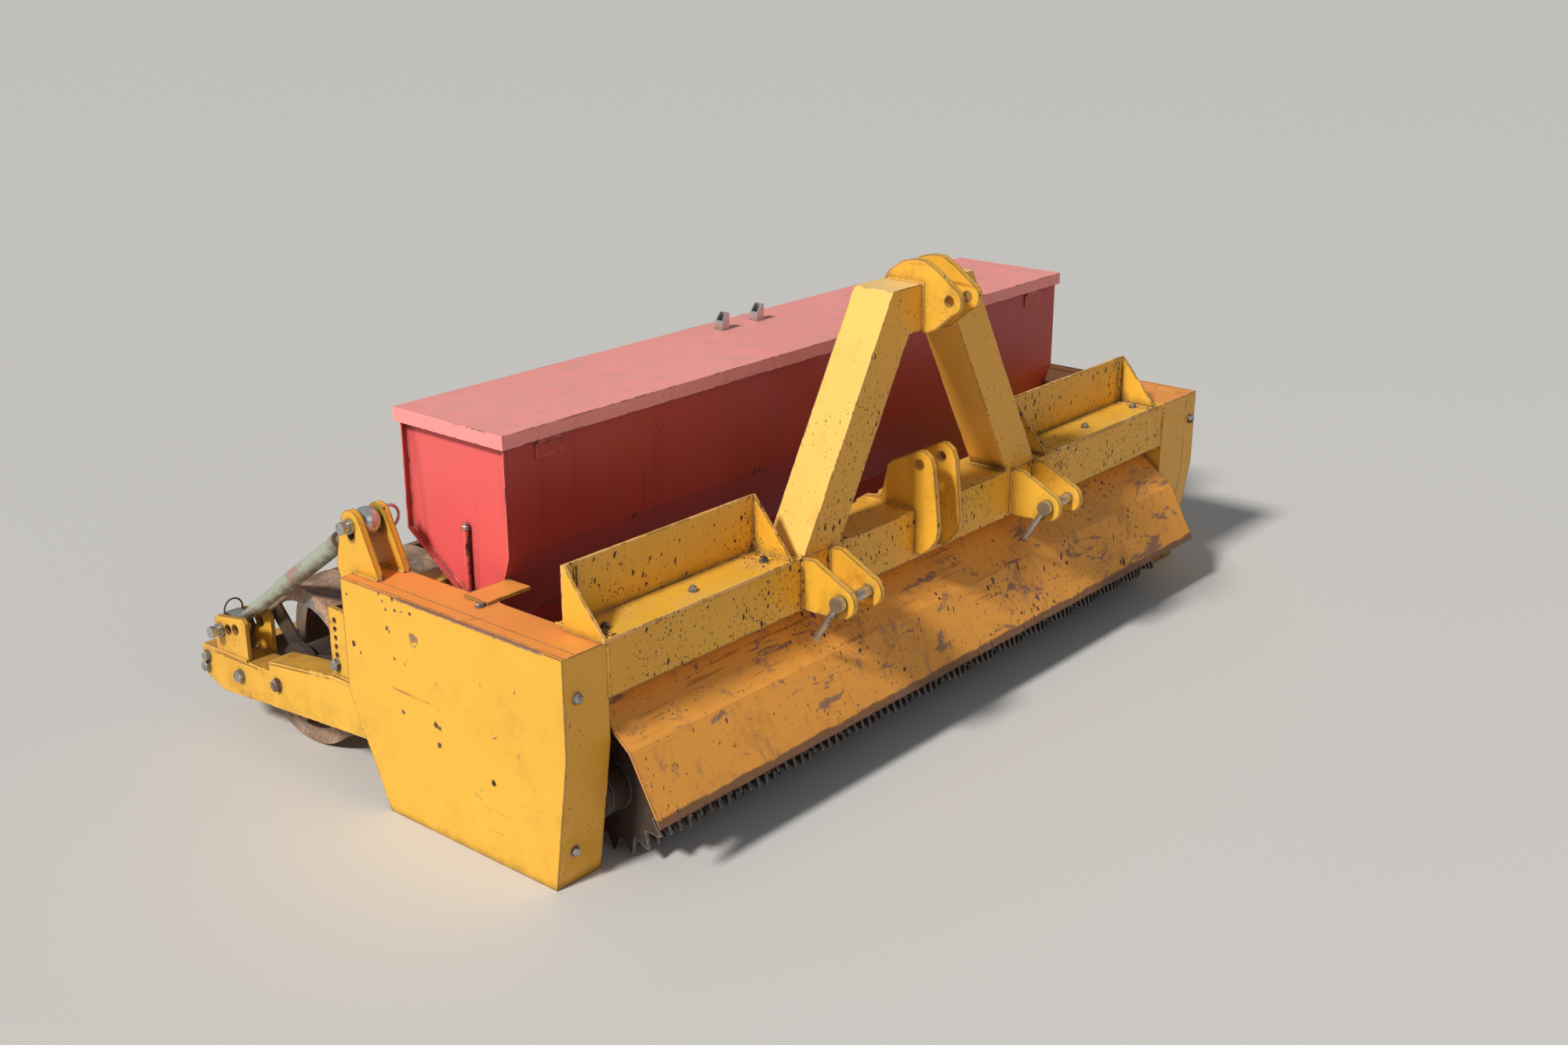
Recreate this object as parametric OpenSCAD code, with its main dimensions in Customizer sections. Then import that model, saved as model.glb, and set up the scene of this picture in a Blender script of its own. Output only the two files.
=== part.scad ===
// Tractor-mounted seed drill: star tine rotor in front, seed hopper, following roller behind.
// X runs across the machine, -Y is the hitch side, +Y the roller side, Z is up.
// Modules work in frame places: X from the middle of the working width, Y from the beam's front
// face, Z from the ground. placed() then moves the machine onto its own origin.

/* [Frame] */
// Clear width between the two side panels
work_w = 1816; // [1640:4:2000]
// Height of beam top and side panels
frame_h = 425; // [400:5:450]
// Thickness of the right side panel box
panel_t = 100; // [90:5:120]
// Thickness of the left side panel box, on the drive side
drive_panel_t = 112; // [95:1:125]
// Thickness of the chain cover outside the left panel
cover_t = 46; // [30:1:60]
// Length of the side panels along their top
panel_l = 560; // [540:5:600]
// Height of the bend in the panels' front edge
panel_bend_z = 250; // [230:5:270]
// How far the panels' toe stands back at the ground
toe_y = 35; // [20:5:50]
// Where the panels' flat bottom ends
heel_y = 465; // [440:5:480]
// Height of the corner in the panels' rear edge
rear_bend_z = 210; // [200:5:225]
// Sheet thickness of panels and arms
sheet_t = 6; // [4:1:8]
// Height of the front beam
beam_h = 100; // [90:5:110]
// Depth of the front beam
beam_d = 120; // [110:5:130]
// Wall of the box sections
box_wall = 6; // [4:1:8]
// Size of the rear cross tube
rear_tube = 60; // [50:5:65]
// Front face of the rear cross tube
rear_tube_y = 482; // [478:1:490]
// Underside of the rear cross tube
rear_tube_z = 330; // [325:1:340]

/* [Mast and hitch] */
// Middle of the mast across the machine
mast_x = -30; // [-60:5:30]
// Height of the mast's flat top
mast_z = 868; // [840:4:900]
// How far the mast's foot reaches outside the middle of a lower link gap
foot_out = 40; // [30:1:44]
// Half width of the mast at its flat top
mast_top = 128; // [110:2:140]
// Width of a mast leg along the beam
leg_w = 102; // [90:2:110]
// Depth of a mast leg
leg_d = 90; // [80:2:100]
// Thickness of hitch plates and cheeks
ear_t = 12; // [10:1:15]
// Top link gap between the cheeks
top_gap = 46; // [45:1:54]
// Top link hole in the cheeks
top_bore = 20; // [19.5:0.1:22]
// Top link hole ahead of the beam
top_hole_y = -59; // [-70:1:-50]
// Height of the top link hole
top_hole_z = 843; // [835:1:850]
// Distance between the two lower link gaps
lower_span = 683; // [660:1:700]
// Lower link gap between two ears
lower_gap = 67; // [60:1:72]
// Lower link pins
lower_pin = 22; // [20:0.5:24]
// Lower link pin ahead of the beam
lower_pin_y = -90; // [-95:1:-80]
// Height of the lower link pins
lower_pin_z = 362; // [355:1:370]
// Nose radius of the lower ears
lower_nose = 30; // [26:1:32]

/* [Weight trays] */
// How far the right tray laps over the panel's top
tray_lap = 12; // [5:1:20]
// Inner end of a tray from the middle of the mast
tray_in = 417; // [400:1:450]
// Height of a tray's back above the beam
tray_h = 112; // [90:2:130]
// Back of the tray behind the beam's front
tray_back = 84; // [70:2:100]
// Plate of the trays
tray_t = 6; // [4:1:8]

/* [Star rotor] */
// Radius over the star tips
star_r = 127; // [115:1:128]
// Root radius between star teeth
star_root = 99; // [85:1:104]
// Teeth on one star
star_teeth = 18; // [12:1:20]
// Plate of a star
star_t = 5; // [5:1:10]
// Distance between stars
star_pitch = 34; // [24:2:60]
// Radius of the rotor tube
rotor_tube_r = 45; // [30:1:55]
// Radius of the rotor's end journals
journal_r = 20; // [15:1:25]
// Rotor axis behind the beam's front
rotor_y = 58; // [50:1:64]
// Height of the rotor axis
rotor_z = 129; // [129:1:134]

/* [Front shield] */
// Plate of the shield
shield_t = 5; // [4:1:6]
// Shield bend ahead of the beam
shield_bend_y = -38; // [-45:1:-30]
// Height of the shield bend
shield_bend_z = 236; // [230:1:245]
// Shield's lower edge ahead of the beam
shield_low_y = -104; // [-110:1:-95]
// Height of the shield's lower edge
shield_low_z = 120; // [110:1:135]
// Shield's upper edge behind the beam's front
shield_top_y = 70; // [60:1:80]

/* [Hopper] */
// Distance from the right panel to the hopper body
hopper_gap_right = 67; // [55:1:90]
// Distance from the left panel to the hopper body
hopper_gap_left = 7; // [7:1:14]
// Depth of the lid
lid_d = 288; // [270:2:300]
// Front edge of the lid behind the beam's front
lid_y = 297; // [285:1:310]
// Height of the lid's top
lid_z = 696; // [650:2:740]
// Height of the lid's rim
lid_rim = 26; // [20:1:35]
// Sheet of hopper and lid
hopper_t = 3; // [2:0.5:4]
// Distance from the lid's edge to the hopper body
lid_over = 8; // [7:1:10]
// How far the end plates stand in from the body's ends
end_in = 12; // [8:1:20]
// Height of the front wall's fold
front_fold_z = 473; // [460:1:480]
// Height of the rear wall's fold
rear_fold_z = 468; // [460:1:475]
// Middle of the seed outlet behind the beam's front
outlet_y = 372; // [365:1:380]
// Height of the seed outlet
outlet_z = 340; // [335:1:345]
// Width of the seed outlet
outlet_w = 44; // [38:1:50]
// Depth of the metering housing under the outlet
meter_h = 62; // [58:1:70]
// Radius of the metering roller
meter_r = 16; // [12:1:17]
// Radius of the metering shaft
meter_shaft_r = 8; // [6:1:10]

/* [Roller gear] */
// Radius of the rear roller
roller_r = 160; // [150:1:161]
// Roller axis behind the beam's front
roller_y = 805; // [790:1:820]
// Height of the roller axis
roller_z = 161; // [161:1:165]
// Radius of the roller's axle
axle_r = 20; // [15:1:25]
// Radius of the roller's centre tube
roller_tube_r = 38; // [30:1:60]
// Curved plates of the roller
roller_t = 8; // [6:1:10]
// Distance between the roller's ring blades
ring_w = 92; // [70:1:120]
// Plate of the ring blades
blade_t = 8; // [6:1:10]
// Radial depth of the ring blades
blade_d = 32; // [24:1:45]
// Pivot of the arms behind the beam's front
pivot_y = 470; // [465:1:475]
// Height of the arms' pivot
pivot_z = 168; // [165:1:172]
// Radius of the arms' pivot pins
pivot_r = 15; // [12:0.5:18]
// Width of an arm
arm_w = 56; // [50:1:58]
// Rear end of the arms
arm_end_y = 1052; // [1040:1:1060]
// Top pin of the screw links behind the beam's front
link_top_y = 560; // [550:1:570]
// Height of the screw links' top pin
link_top_z = 512; // [505:1:520]
// Lower pin of the screw links behind the beam's front
link_low_y = 970; // [960:1:980]
// Height of the screw links' lower pin
link_low_z = 213; // [208:1:219]
// Radius of the screw link pins
link_pin_r = 10; // [8:0.5:11]
// Radius of the screw links' tube
barrel_r = 17; // [15:0.5:19]
// Length of the screw links' tube
barrel_l = 215; // [190:5:230]
// Gap between the ears on a panel's top
link_gap = 46; // [44:1:50]
// Middle of these ears inward from the panel's outer face
link_in = 65; // [63:1:66]

/* [Hidden] */
$fn = 48;

yellow = [0.93, 0.64, 0.17];
worn_yellow = [0.75, 0.48, 0.2];
red = [0.8, 0.18, 0.17];
steel = [0.6, 0.61, 0.58];
rust = [0.38, 0.26, 0.19];
link_grey = [0.62, 0.64, 0.57];

run_gap = 0.05;
turn_gap = 0.25;
seat_gap = 0.2;
half_w = work_w / 2;
arm_face = half_w + panel_t - sheet_t - 2;
low_pin_out = 24;
x_right = -arm_face - low_pin_out;
x_left = half_w + drive_panel_t + cover_t;
x_mid = (x_right + x_left) / 2;
y_front = lower_pin_y - lower_nose;
y_mid = (y_front + arm_end_y) / 2;

module placed() translate([-x_mid, -y_mid, 0]) children();

// A flat shape drawn in Y and Z, standing from x over a width w
module slab(x, w) translate([x, 0, 0]) rotate([90, 0, 90]) linear_extrude(w) children();
// A rod along X
module rod_x(x, w, y, z, r) translate([x, y, z]) rotate([0, 90, 0]) cylinder(h = w, r = r);
// A shape of one side repeated on the other side of x = c
module both(c = 0) {
    children();
    translate([2 * c, 0, 0]) mirror([1, 0, 0]) children();
}

// The outline's points moved in by t; the outline runs anticlockwise
function unit(v) = v / norm(v);
function left_of(a, b) = let (d = unit(b - a)) [-d[1], d[0]];
function inset(p, t) = [for (i = [0:len(p) - 1])
    let (a = p[(i + len(p) - 1) % len(p)], b = p[i], c = p[(i + 1) % len(p)],
         m = left_of(a, b), n = left_of(b, c))
    b + (m + n) * t / (1 + m * n)];

panel_outline = [[toe_y, 0], [heel_y, 0], [panel_l, rear_bend_z], [panel_l, frame_h],
    [0, frame_h], [0, panel_bend_z]];
// The arm leaves the panel through its open rear
door_low_z = 55;
door_high_z = frame_h - 35;

module side_panel(x, w) difference() {
    slab(x, w) polygon(panel_outline);
    slab(x + sheet_t, w - 2 * sheet_t) polygon(inset(panel_outline, sheet_t));
    translate([x + sheet_t, heel_y - 20, door_low_z])
        cube([w - 2 * sheet_t, panel_l - heel_y + 40, door_high_z - door_low_z]);
}
module right_side_panel() color(yellow) placed() side_panel(-half_w - panel_t, panel_t);
module left_side_panel() color(yellow) placed() side_panel(half_w, drive_panel_t);
module chain_cover() color(yellow) placed()
    slab(half_w + drive_panel_t, cover_t) polygon(panel_outline);

module box_x(x, w, y, d, z, h) difference() {
    translate([x, y, z]) cube([w, d, h]);
    translate([x - 1, y + box_wall, z + box_wall])
        cube([w + 2, d - 2 * box_wall, h - 2 * box_wall]);
}
module front_beam() color(yellow) placed()
    box_x(-half_w, work_w, 0, beam_d, frame_h - beam_h, beam_h);
module rear_cross_tube() color(yellow) placed()
    box_x(-half_w, work_w, rear_tube_y, rear_tube, rear_tube_z, rear_tube);

// Mast: two leaning box legs meet the cheeks that take the top link
cheek_out = top_gap / 2 + ear_t;
mast_foot = lower_span / 2 + foot_out;
leg_lean = (mast_foot - mast_top) / (mast_z - frame_h);
leg_low_z = mast_z - 88;
leg_outline = [[mast_foot - leg_w, frame_h], [mast_foot, frame_h], [mast_top, mast_z],
    [cheek_out, mast_z], [cheek_out, leg_low_z],
    [mast_foot - leg_w - leg_lean * (leg_low_z - frame_h), leg_low_z]];
module mast_legs() color(yellow) placed() both(mast_x) translate([mast_x, leg_d, 0])
    rotate([90, 0, 0]) difference() {
        linear_extrude(leg_d) polygon(leg_outline);
        translate([0, 0, box_wall]) linear_extrude(leg_d - 2 * box_wall)
            polygon(inset(leg_outline, box_wall));
    }
cheek_nose = 27;
module mast_cheeks() color(yellow) placed() both(mast_x)
    difference() {
        slab(mast_x + top_gap / 2, ear_t) union() {
            polygon([[0, leg_low_z - 4], [leg_d - 6, leg_low_z + 20], [leg_d, mast_z],
                [leg_d - 10, mast_z + 16], [50, mast_z + 37], [24, mast_z + 44], [0, mast_z + 44],
                [-28, mast_z + 30], [top_hole_y - 19, top_hole_z + 19],
                [top_hole_y - 8, top_hole_z - 25.5], [-27, leg_low_z + 3], [-11, leg_low_z - 4]]);
            translate([top_hole_y, top_hole_z]) circle(cheek_nose);
        }
        rod_x(mast_x + top_gap / 2 - 1, ear_t + 2, top_hole_y, top_hole_z, top_bore / 2);
    }
module mast_packer() color(yellow) placed()
    translate([mast_x - top_gap / 2, 30, leg_low_z + 20]) cube([top_gap, 40, 60]);

// Lower link ears on the beam's front face
ear_z0 = frame_h - beam_h + 2;
module ear_pair(c) {
    for (x = [c - lower_gap / 2 - ear_t, c + lower_gap / 2]) difference() {
        slab(x, ear_t) union() {
            polygon([[0, ear_z0], [0, frame_h], [-26, frame_h + 2], [lower_pin_y - 18, lower_pin_z + 24],
                [lower_pin_y - 2, lower_pin_z - lower_nose], [-34, ear_z0]]);
            translate([lower_pin_y, lower_pin_z]) circle(lower_nose);
        }
        rod_x(x - 1, ear_t + 2, lower_pin_y, lower_pin_z, lower_pin / 2 + run_gap);
    }
}
hitch_places = [mast_x - lower_span / 2, mast_x + lower_span / 2];
module lower_ears() color(yellow) placed() for (c = hitch_places) ear_pair(c);
pin_out = lower_gap / 2 + ear_t;
handle_r = 6;
handle_y = 50;
handle_z = 80;
linch_r = 3.5;
module lower_link_pins() color(steel) placed() for (c = hitch_places) difference() {
    union() {
        rod_x(c - pin_out - 14, 2 * pin_out + 32, lower_pin_y, lower_pin_z, lower_pin / 2);
        rod_x(c - pin_out - 16, 12, lower_pin_y, lower_pin_z, lower_pin / 2 + 4);
        translate([c - pin_out - 10, lower_pin_y, lower_pin_z])
            rotate([180 + atan2(handle_y, handle_z), 0, 0])
            cylinder(h = norm([handle_y, handle_z]), r = handle_r);
    }
    translate([c + pin_out + 8, lower_pin_y, lower_pin_z - 20])
        cylinder(h = 40, r = linch_r + run_gap);
}
module linch_rings() color(steel) placed() for (c = hitch_places)
    translate([c + pin_out + 8, lower_pin_y, lower_pin_z]) {
        rotate([0, 90, 0]) rotate_extrude() translate([19, 0]) circle(2.2);
        translate([0, 0, -21]) cylinder(h = 46, r = linch_r);
    }

// Pair of upright plates in the middle of the beam
centre_hole_y = -7;
centre_hole_z = frame_h + 94;
centre_gap = 61;
module centre_plates() color(worn_yellow) placed() both(mast_x) difference() {
    slab(mast_x + centre_gap / 2, ear_t) polygon([
        [0, frame_h - 88], [0, frame_h], [beam_d, frame_h], [beam_d, frame_h - 80],
        [beam_d + 24, frame_h - 66], [beam_d + 30, frame_h - 50], [beam_d + 30, frame_h - 26],
        [beam_d + 24, frame_h - 8], [beam_d + 4, frame_h + 6], [83, frame_h + 11],
        [69, frame_h + 79], [60, frame_h + 89], [-3, frame_h + 121], [-17, frame_h + 123],
        [-33, frame_h + 112], [-41, frame_h + 92], [-52, frame_h], [-55, frame_h - 29],
        [-51, frame_h - 51], [-34, frame_h - 74], [-17, frame_h - 88]]);
    rod_x(mast_x + centre_gap / 2 - 1, ear_t + 2, centre_hole_y, centre_hole_z, 10);
}

// Trays for ballast on both sides of the mast
tray_front = -5;
tray_out = half_w + tray_lap + mast_x;
module weight_trays() color(yellow) placed() both(mast_x) translate([mast_x, 0, frame_h]) {
    translate([tray_in, tray_front, 0]) cube([tray_out - tray_in, tray_back - tray_front, tray_t]);
    translate([tray_in, tray_back, 0]) cube([tray_out - tray_in, tray_t, tray_h]);
    for (x = [tray_in, tray_out - tray_t]) slab(x, tray_t)
        polygon([[tray_front, 0], [tray_back + 1, 0], [tray_back + 1, tray_h],
            [tray_back, tray_h], [tray_front, tray_t]]);
}

// Folded shield ahead of the rotor, hung under the beam by stays
shield_gap = 6;
shield_top_z = frame_h - beam_h - 5;
shield_line = [[shield_low_y, shield_low_z], [shield_bend_y, shield_bend_z],
    [shield_top_y, shield_top_z], [shield_top_y + 30, shield_top_z]];
// A sheet of thickness t under a folded line
function under(p, t) = [for (i = [len(p) - 1:-1:0])
    let (m = left_of(p[max(i - 1, 0)], p[max(i, 1)]),
         n = i < len(p) - 1 ? left_of(p[i], p[i + 1]) : m)
    p[i] - (m + n) * t / (1 + m * n)];
module bent_sheet(p, t) polygon(concat(p, under(p, t)));
module front_shield() color(worn_yellow) placed()
    slab(-half_w + shield_gap, work_w - 2 * shield_gap) bent_sheet(shield_line, shield_t);
stay_w = 50;
module shield_stays() color(yellow) placed() for (x = [-0.8, -0.27, 0.27, 0.8] * half_w)
    translate([x - stay_w / 2, shield_top_y + 2, shield_top_z])
    cube([stay_w, 26, frame_h - beam_h - shield_top_z]);

// Star rotor
rotor_end = half_w - 14;
star_count = floor((2 * rotor_end - 40) / star_pitch);
star_step = 360 / star_teeth;
tip_angle = 1.2;
star_outline = [for (i = [0:star_teeth - 1]) for (k = [0:2])
    let (a = i * star_step + [-star_step / 2, -tip_angle / 2, tip_angle / 2][k])
    [star_root, star_r, star_r][k] * [cos(a), sin(a)]];
module star_rotor() color(rust) placed() translate([0, rotor_y, rotor_z]) rotate([0, 90, 0]) {
    translate([0, 0, -rotor_end]) cylinder(h = 2 * rotor_end, r = rotor_tube_r);
    translate([0, 0, -half_w + run_gap]) cylinder(h = work_w - 2 * run_gap, r = journal_r);
    for (i = [0:star_count - 1]) translate([0, 0, (i - (star_count - 1) / 2) * star_pitch])
        rotate([0, 0, (i % 3) * star_step / 3]) translate([0, 0, -star_t / 2])
        linear_extrude(star_t) polygon(star_outline);
}
module rotor_bearings() color(rust) placed() both() difference() {
    rod_x(half_w - 10, 10, rotor_y, rotor_z, journal_r + 26);
    rod_x(half_w - 11, 12, rotor_y, rotor_z, journal_r + turn_gap);
}

// Hopper
body_y0 = lid_y + lid_over;
body_y1 = lid_y + lid_d - lid_over;
body_x0 = hopper_gap_right - half_w;
body_x1 = half_w - hopper_gap_left;
hopper_x = (body_x0 + body_x1) / 2;
body_half = (body_x1 - body_x0) / 2;
lid_l = 2 * (body_half + lid_over);
body_top = lid_z - hopper_t - seat_gap;
hopper_outline = [[outlet_y - outlet_w / 2, outlet_z], [outlet_y + outlet_w / 2, outlet_z],
    [body_y1, rear_fold_z], [body_y1, body_top], [body_y0, body_top], [body_y0, front_fold_z]];
hopper_inner = inset(hopper_outline, hopper_t);
module hopper_body() color(red) placed() {
    difference() {
        slab(hopper_x - body_half, 2 * body_half) polygon(hopper_outline);
        slab(hopper_x - body_half - 1, 2 * body_half + 2) polygon([
            [hopper_inner[0][0], outlet_z - 1], [hopper_inner[1][0], outlet_z - 1],
            hopper_inner[1], hopper_inner[2], [hopper_inner[3][0], body_top + 1],
            [hopper_inner[4][0], body_top + 1], hopper_inner[5], hopper_inner[0]]);
    }
    for (x = [hopper_x - body_half + end_in, hopper_x + body_half - end_in - hopper_t])
        slab(x, hopper_t) polygon(hopper_outline);
}
module hopper_lid() color([0.88, 0.5, 0.48]) placed() difference() {
    translate([hopper_x - lid_l / 2, lid_y, lid_z - lid_rim]) cube([lid_l, lid_d, lid_rim]);
    translate([hopper_x - lid_l / 2 + hopper_t, lid_y + hopper_t, lid_z - lid_rim - 1])
        cube([lid_l - 2 * hopper_t, lid_d - 2 * hopper_t, lid_rim + 1 - hopper_t]);
}
// Front hinges of the lid under its rim, one near each end
hinge_r = 3.8;
hinge_pin_r = 2;
hinge_y = lid_y + hopper_t;
hinge_z = lid_z - lid_rim - 4;
hinge_l = 60;
hinge_leaf_h = 24;
knuckle = hinge_l / 3;
hinge_at = [hopper_x - lid_l / 2 + 110, hopper_x + lid_l / 2 - 110];
module lid_hinge_leaves() color(red) placed() for (x = hinge_at) {
    translate([x - hinge_l / 2, body_y0 - 3, hinge_z - 5 - hinge_leaf_h])
        cube([hinge_l, 3, hinge_leaf_h]);
    for (k = [0, 2]) translate([x - hinge_l / 2 + k * knuckle + 0.2, 0, 0]) {
        rod_x(0, knuckle - 0.4, hinge_y, hinge_z, hinge_r);
        translate([0, body_y0 - 3, hinge_z - 8]) cube([knuckle - 0.4, 3, 8]);
    }
    rod_x(x - hinge_l / 2 + 1, hinge_l - 2, hinge_y, hinge_z, hinge_pin_r);
}
module lid_hinge_flaps() color(red) placed() for (x = hinge_at) difference() {
    union() {
        rod_x(x - knuckle / 2 + 0.2, knuckle - 0.4, hinge_y, hinge_z, hinge_r);
        translate([x - knuckle / 2 + 0.2, lid_y, hinge_z])
            cube([knuckle - 0.4, hopper_t, lid_z - lid_rim - hinge_z]);
    }
    rod_x(x - hinge_l / 2, hinge_l, hinge_y, hinge_z, hinge_pin_r + run_gap);
}
// Two catches on the lid's rear edge
catch_half = 55;
catch_d = 22;
catch_w = 21;
catch_h = 34;
catch_t = 3;
module catch_outline(lip, back, top) polygon([[0, 0], [catch_d, 0], [catch_d, top], [catch_d - back, top],
    [0, lip]]);
module lid_catches() color(steel) placed() for (s = [-1, 1])
    translate([hopper_x - 11 + s * catch_half - catch_d / 2, lid_y + lid_d - 45, lid_z]) difference() {
        rotate([90, 0, 0]) linear_extrude(catch_w) catch_outline(16, 7, catch_h);
        translate([catch_t, catch_t - catch_w, catch_t])
            cube([catch_d - 2 * catch_t, catch_w - 2 * catch_t, catch_h]);
    }

// Hopper mountings
function front_slope_y(z) = body_y0 + (outlet_y - outlet_w / 2 - body_y0)
    * (front_fold_z - z) / (front_fold_z - outlet_z);
strap_y = 420;
strap_r = 6;
strap_t = 5;
strap_low_z = outlet_z + 45;
strap_high_z = 500;
end_face = body_half - end_in;
strap_x = end_face + strap_r + 2;
module hopper_straps() color(red) placed() both(hopper_x) {
    translate([hopper_x + strap_x, strap_y, strap_low_z])
        cylinder(h = strap_high_z - strap_low_z, r = strap_r);
    rod_x(hopper_x + end_face + 0.1, strap_r + 1.5, strap_y, strap_high_z - 20, strap_r - 1);
}
// A tab on each panel carries the rod's foot, on the right with a leg down the panel
module strap_brackets() color(red) placed() {
    translate([-half_w, strap_y - 16, strap_low_z - seat_gap - strap_t])
        cube([hopper_x - end_face - 2 + half_w, 30, strap_t]);
    translate([-half_w, strap_y - 16, strap_low_z - 46]) cube([strap_t, 30, 46 - seat_gap]);
    translate([hopper_x + end_face + 2, strap_y - 16, strap_low_z - seat_gap - strap_t])
        cube([half_w - hopper_x - end_face - 2, 30, strap_t]);
}
foot_t = 6;
foot_y0 = 262;
module hopper_feet() color(yellow) placed() for (s = [-1, 1]) {
    x0 = s < 0 ? -half_w - 22 : hopper_x + body_half - 8;
    x1 = s < 0 ? hopper_x - body_half + 8 : half_w + 22;
    slab(x0, x1 - x0) polygon([[foot_y0, frame_h], [front_slope_y(frame_h) - seat_gap, frame_h],
        [front_slope_y(frame_h + foot_t) - seat_gap, frame_h + foot_t], [foot_y0, frame_h + foot_t]]);
}

// Metering housing: a channel under the outlet with a slot for the seed
meter_z = outlet_z - meter_h;
meter_axis_z = outlet_z - 28;
module metering_housing() color(red) placed() difference() {
    translate([hopper_x - end_face, outlet_y - outlet_w / 2, meter_z])
        cube([2 * end_face, outlet_w, meter_h]);
    translate([hopper_x - end_face + hopper_t, outlet_y - outlet_w / 2 + hopper_t, meter_z + hopper_t])
        cube([2 * (end_face - hopper_t), outlet_w - 2 * hopper_t, meter_h]);
    translate([hopper_x - end_face + 20, outlet_y - 8, meter_z - 1])
        cube([2 * (end_face - 20), 16, meter_h]);
    rod_x(hopper_x - end_face - 1, 2 * end_face + 2, outlet_y, meter_axis_z, meter_shaft_r + run_gap);
}
module metering_roller() color(steel) placed() {
    rod_x(hopper_x - end_face + 10, 2 * end_face - 20, outlet_y, meter_axis_z, meter_r);
    rod_x(hopper_x - end_face - 14, half_w - hopper_x + end_face + 14 - 0.3, outlet_y, meter_axis_z,
        meter_shaft_r);
}

// Roller arms
arm_x0 = arm_face - arm_w;
arm_step_y = roller_y + 15;
arm_knee_y = panel_l + 62;
arm_outline = [[pivot_y + 8, pivot_z - 46], [roller_y + 24, 95], [arm_end_y - 70, 82],
    [arm_end_y - 20, 101], [arm_end_y, 122], [arm_end_y - 14, 166], [arm_step_y + 1, 170],
    [arm_step_y, 190], [arm_knee_y, 216], [pivot_y + 8, pivot_z + 46]];
// Height of the arm's top over a place y
function arm_top(y) = lookup(y, [[pivot_y + 8, pivot_z + 46], [arm_knee_y, 216],
    [arm_step_y, 190], [arm_step_y + 1, 170], [arm_end_y - 14, 166]]);
module arm(x) difference() {
    union() {
        slab(x, arm_w) polygon(arm_outline);
        rod_x(x, arm_w, pivot_y, pivot_z, 46);
    }
    slab(x + sheet_t, arm_w - 2 * sheet_t) polygon(inset(arm_outline, sheet_t));
    rod_x(x - 1, arm_w + 2, pivot_y, pivot_z, pivot_r + run_gap);
    rod_x(x - 1, arm_w - sheet_t + 1, roller_y, roller_z, axle_r + turn_gap);
}
module right_arm() color(yellow) placed() mirror([1, 0, 0]) arm(arm_x0);
module left_arm() color(yellow) placed() arm(arm_x0);
module arm_pivots() color(steel) placed() {
    rod_x(-half_w - panel_t + sheet_t, panel_t - 2 * sheet_t, pivot_y, pivot_z, pivot_r);
    rod_x(half_w + sheet_t, drive_panel_t - 2 * sheet_t, pivot_y, pivot_z, pivot_r);
}
// Tabs with a row of holes, standing on the arms behind the panels
tab_t = 8;
tab_x = arm_x0 + arm_w - 2 * tab_t;
tab_y = panel_l + 30;
tab_end_y = panel_l + 68;
tab_top_z = pivot_z + 182;
tab_hole_z = pivot_z + 72;
tab_pitch = 17;
tab_holes = 6;
module arm_tabs() color(yellow) placed() both() difference() {
    slab(tab_x, tab_t) polygon([[tab_y - 38, arm_top(tab_y - 38)], [arm_knee_y, arm_top(arm_knee_y)],
        [tab_end_y, arm_top(tab_end_y)], [tab_end_y, tab_top_z - 4], [tab_end_y - 5, tab_top_z],
        [tab_y, tab_top_z - 2], [tab_y - 38, tab_top_z - 12]]);
    for (i = [0:tab_holes - 1]) rod_x(tab_x - 1, tab_t + 2, (tab_y + tab_end_y) / 2 + 2, tab_hole_z + i * tab_pitch, 5);
}
// Plates for the screw links' lower pins: one on the arm's top, one against its inner face
plate_t = 8;
low_gap = arm_w - plate_t;
low_x = arm_x0 + low_gap / 2;
low_front = link_low_y - 85;
low_rear = link_low_y + 19;
hole_run = 24.5;
module low_outline(z0, z1) polygon([[low_front, z0], [low_rear, z1], [low_rear, link_low_z + 16],
    [low_rear - 8, link_low_z + 27], [low_front + 8, link_low_z + 42], [low_front, link_low_z + 32]]);
module arm_link_ears() color(yellow) placed() both() difference() {
    union() {
        slab(arm_x0 + low_gap, plate_t) low_outline(arm_top(low_front) + seat_gap, arm_top(low_rear) + seat_gap);
        slab(arm_x0 - plate_t - seat_gap, plate_t) low_outline(152, 152);
    }
    for (k = [0:2]) rod_x(arm_x0 - plate_t - 2, arm_w + plate_t + 4, link_low_y - k * hole_run,
        link_low_z + 6 * k, link_pin_r + run_gap);
}
module arm_link_pins() color(steel) placed() both() {
    rod_x(arm_x0 - 10, arm_w + low_pin_out + 10, link_low_y, link_low_z, link_pin_r);
    rod_x(arm_x0 + arm_w + seat_gap, 6, link_low_y, link_low_z, link_pin_r + 4);
    rod_x(arm_face + low_pin_out - 8, 8, link_low_y, link_low_z, link_pin_r + 1.5);
}
tie_h = 40;
tie_y = arm_end_y - 62;
module tie_bar() color(yellow) placed() box_x(-arm_x0, 2 * arm_x0, tie_y, 44, 104, tie_h);

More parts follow.
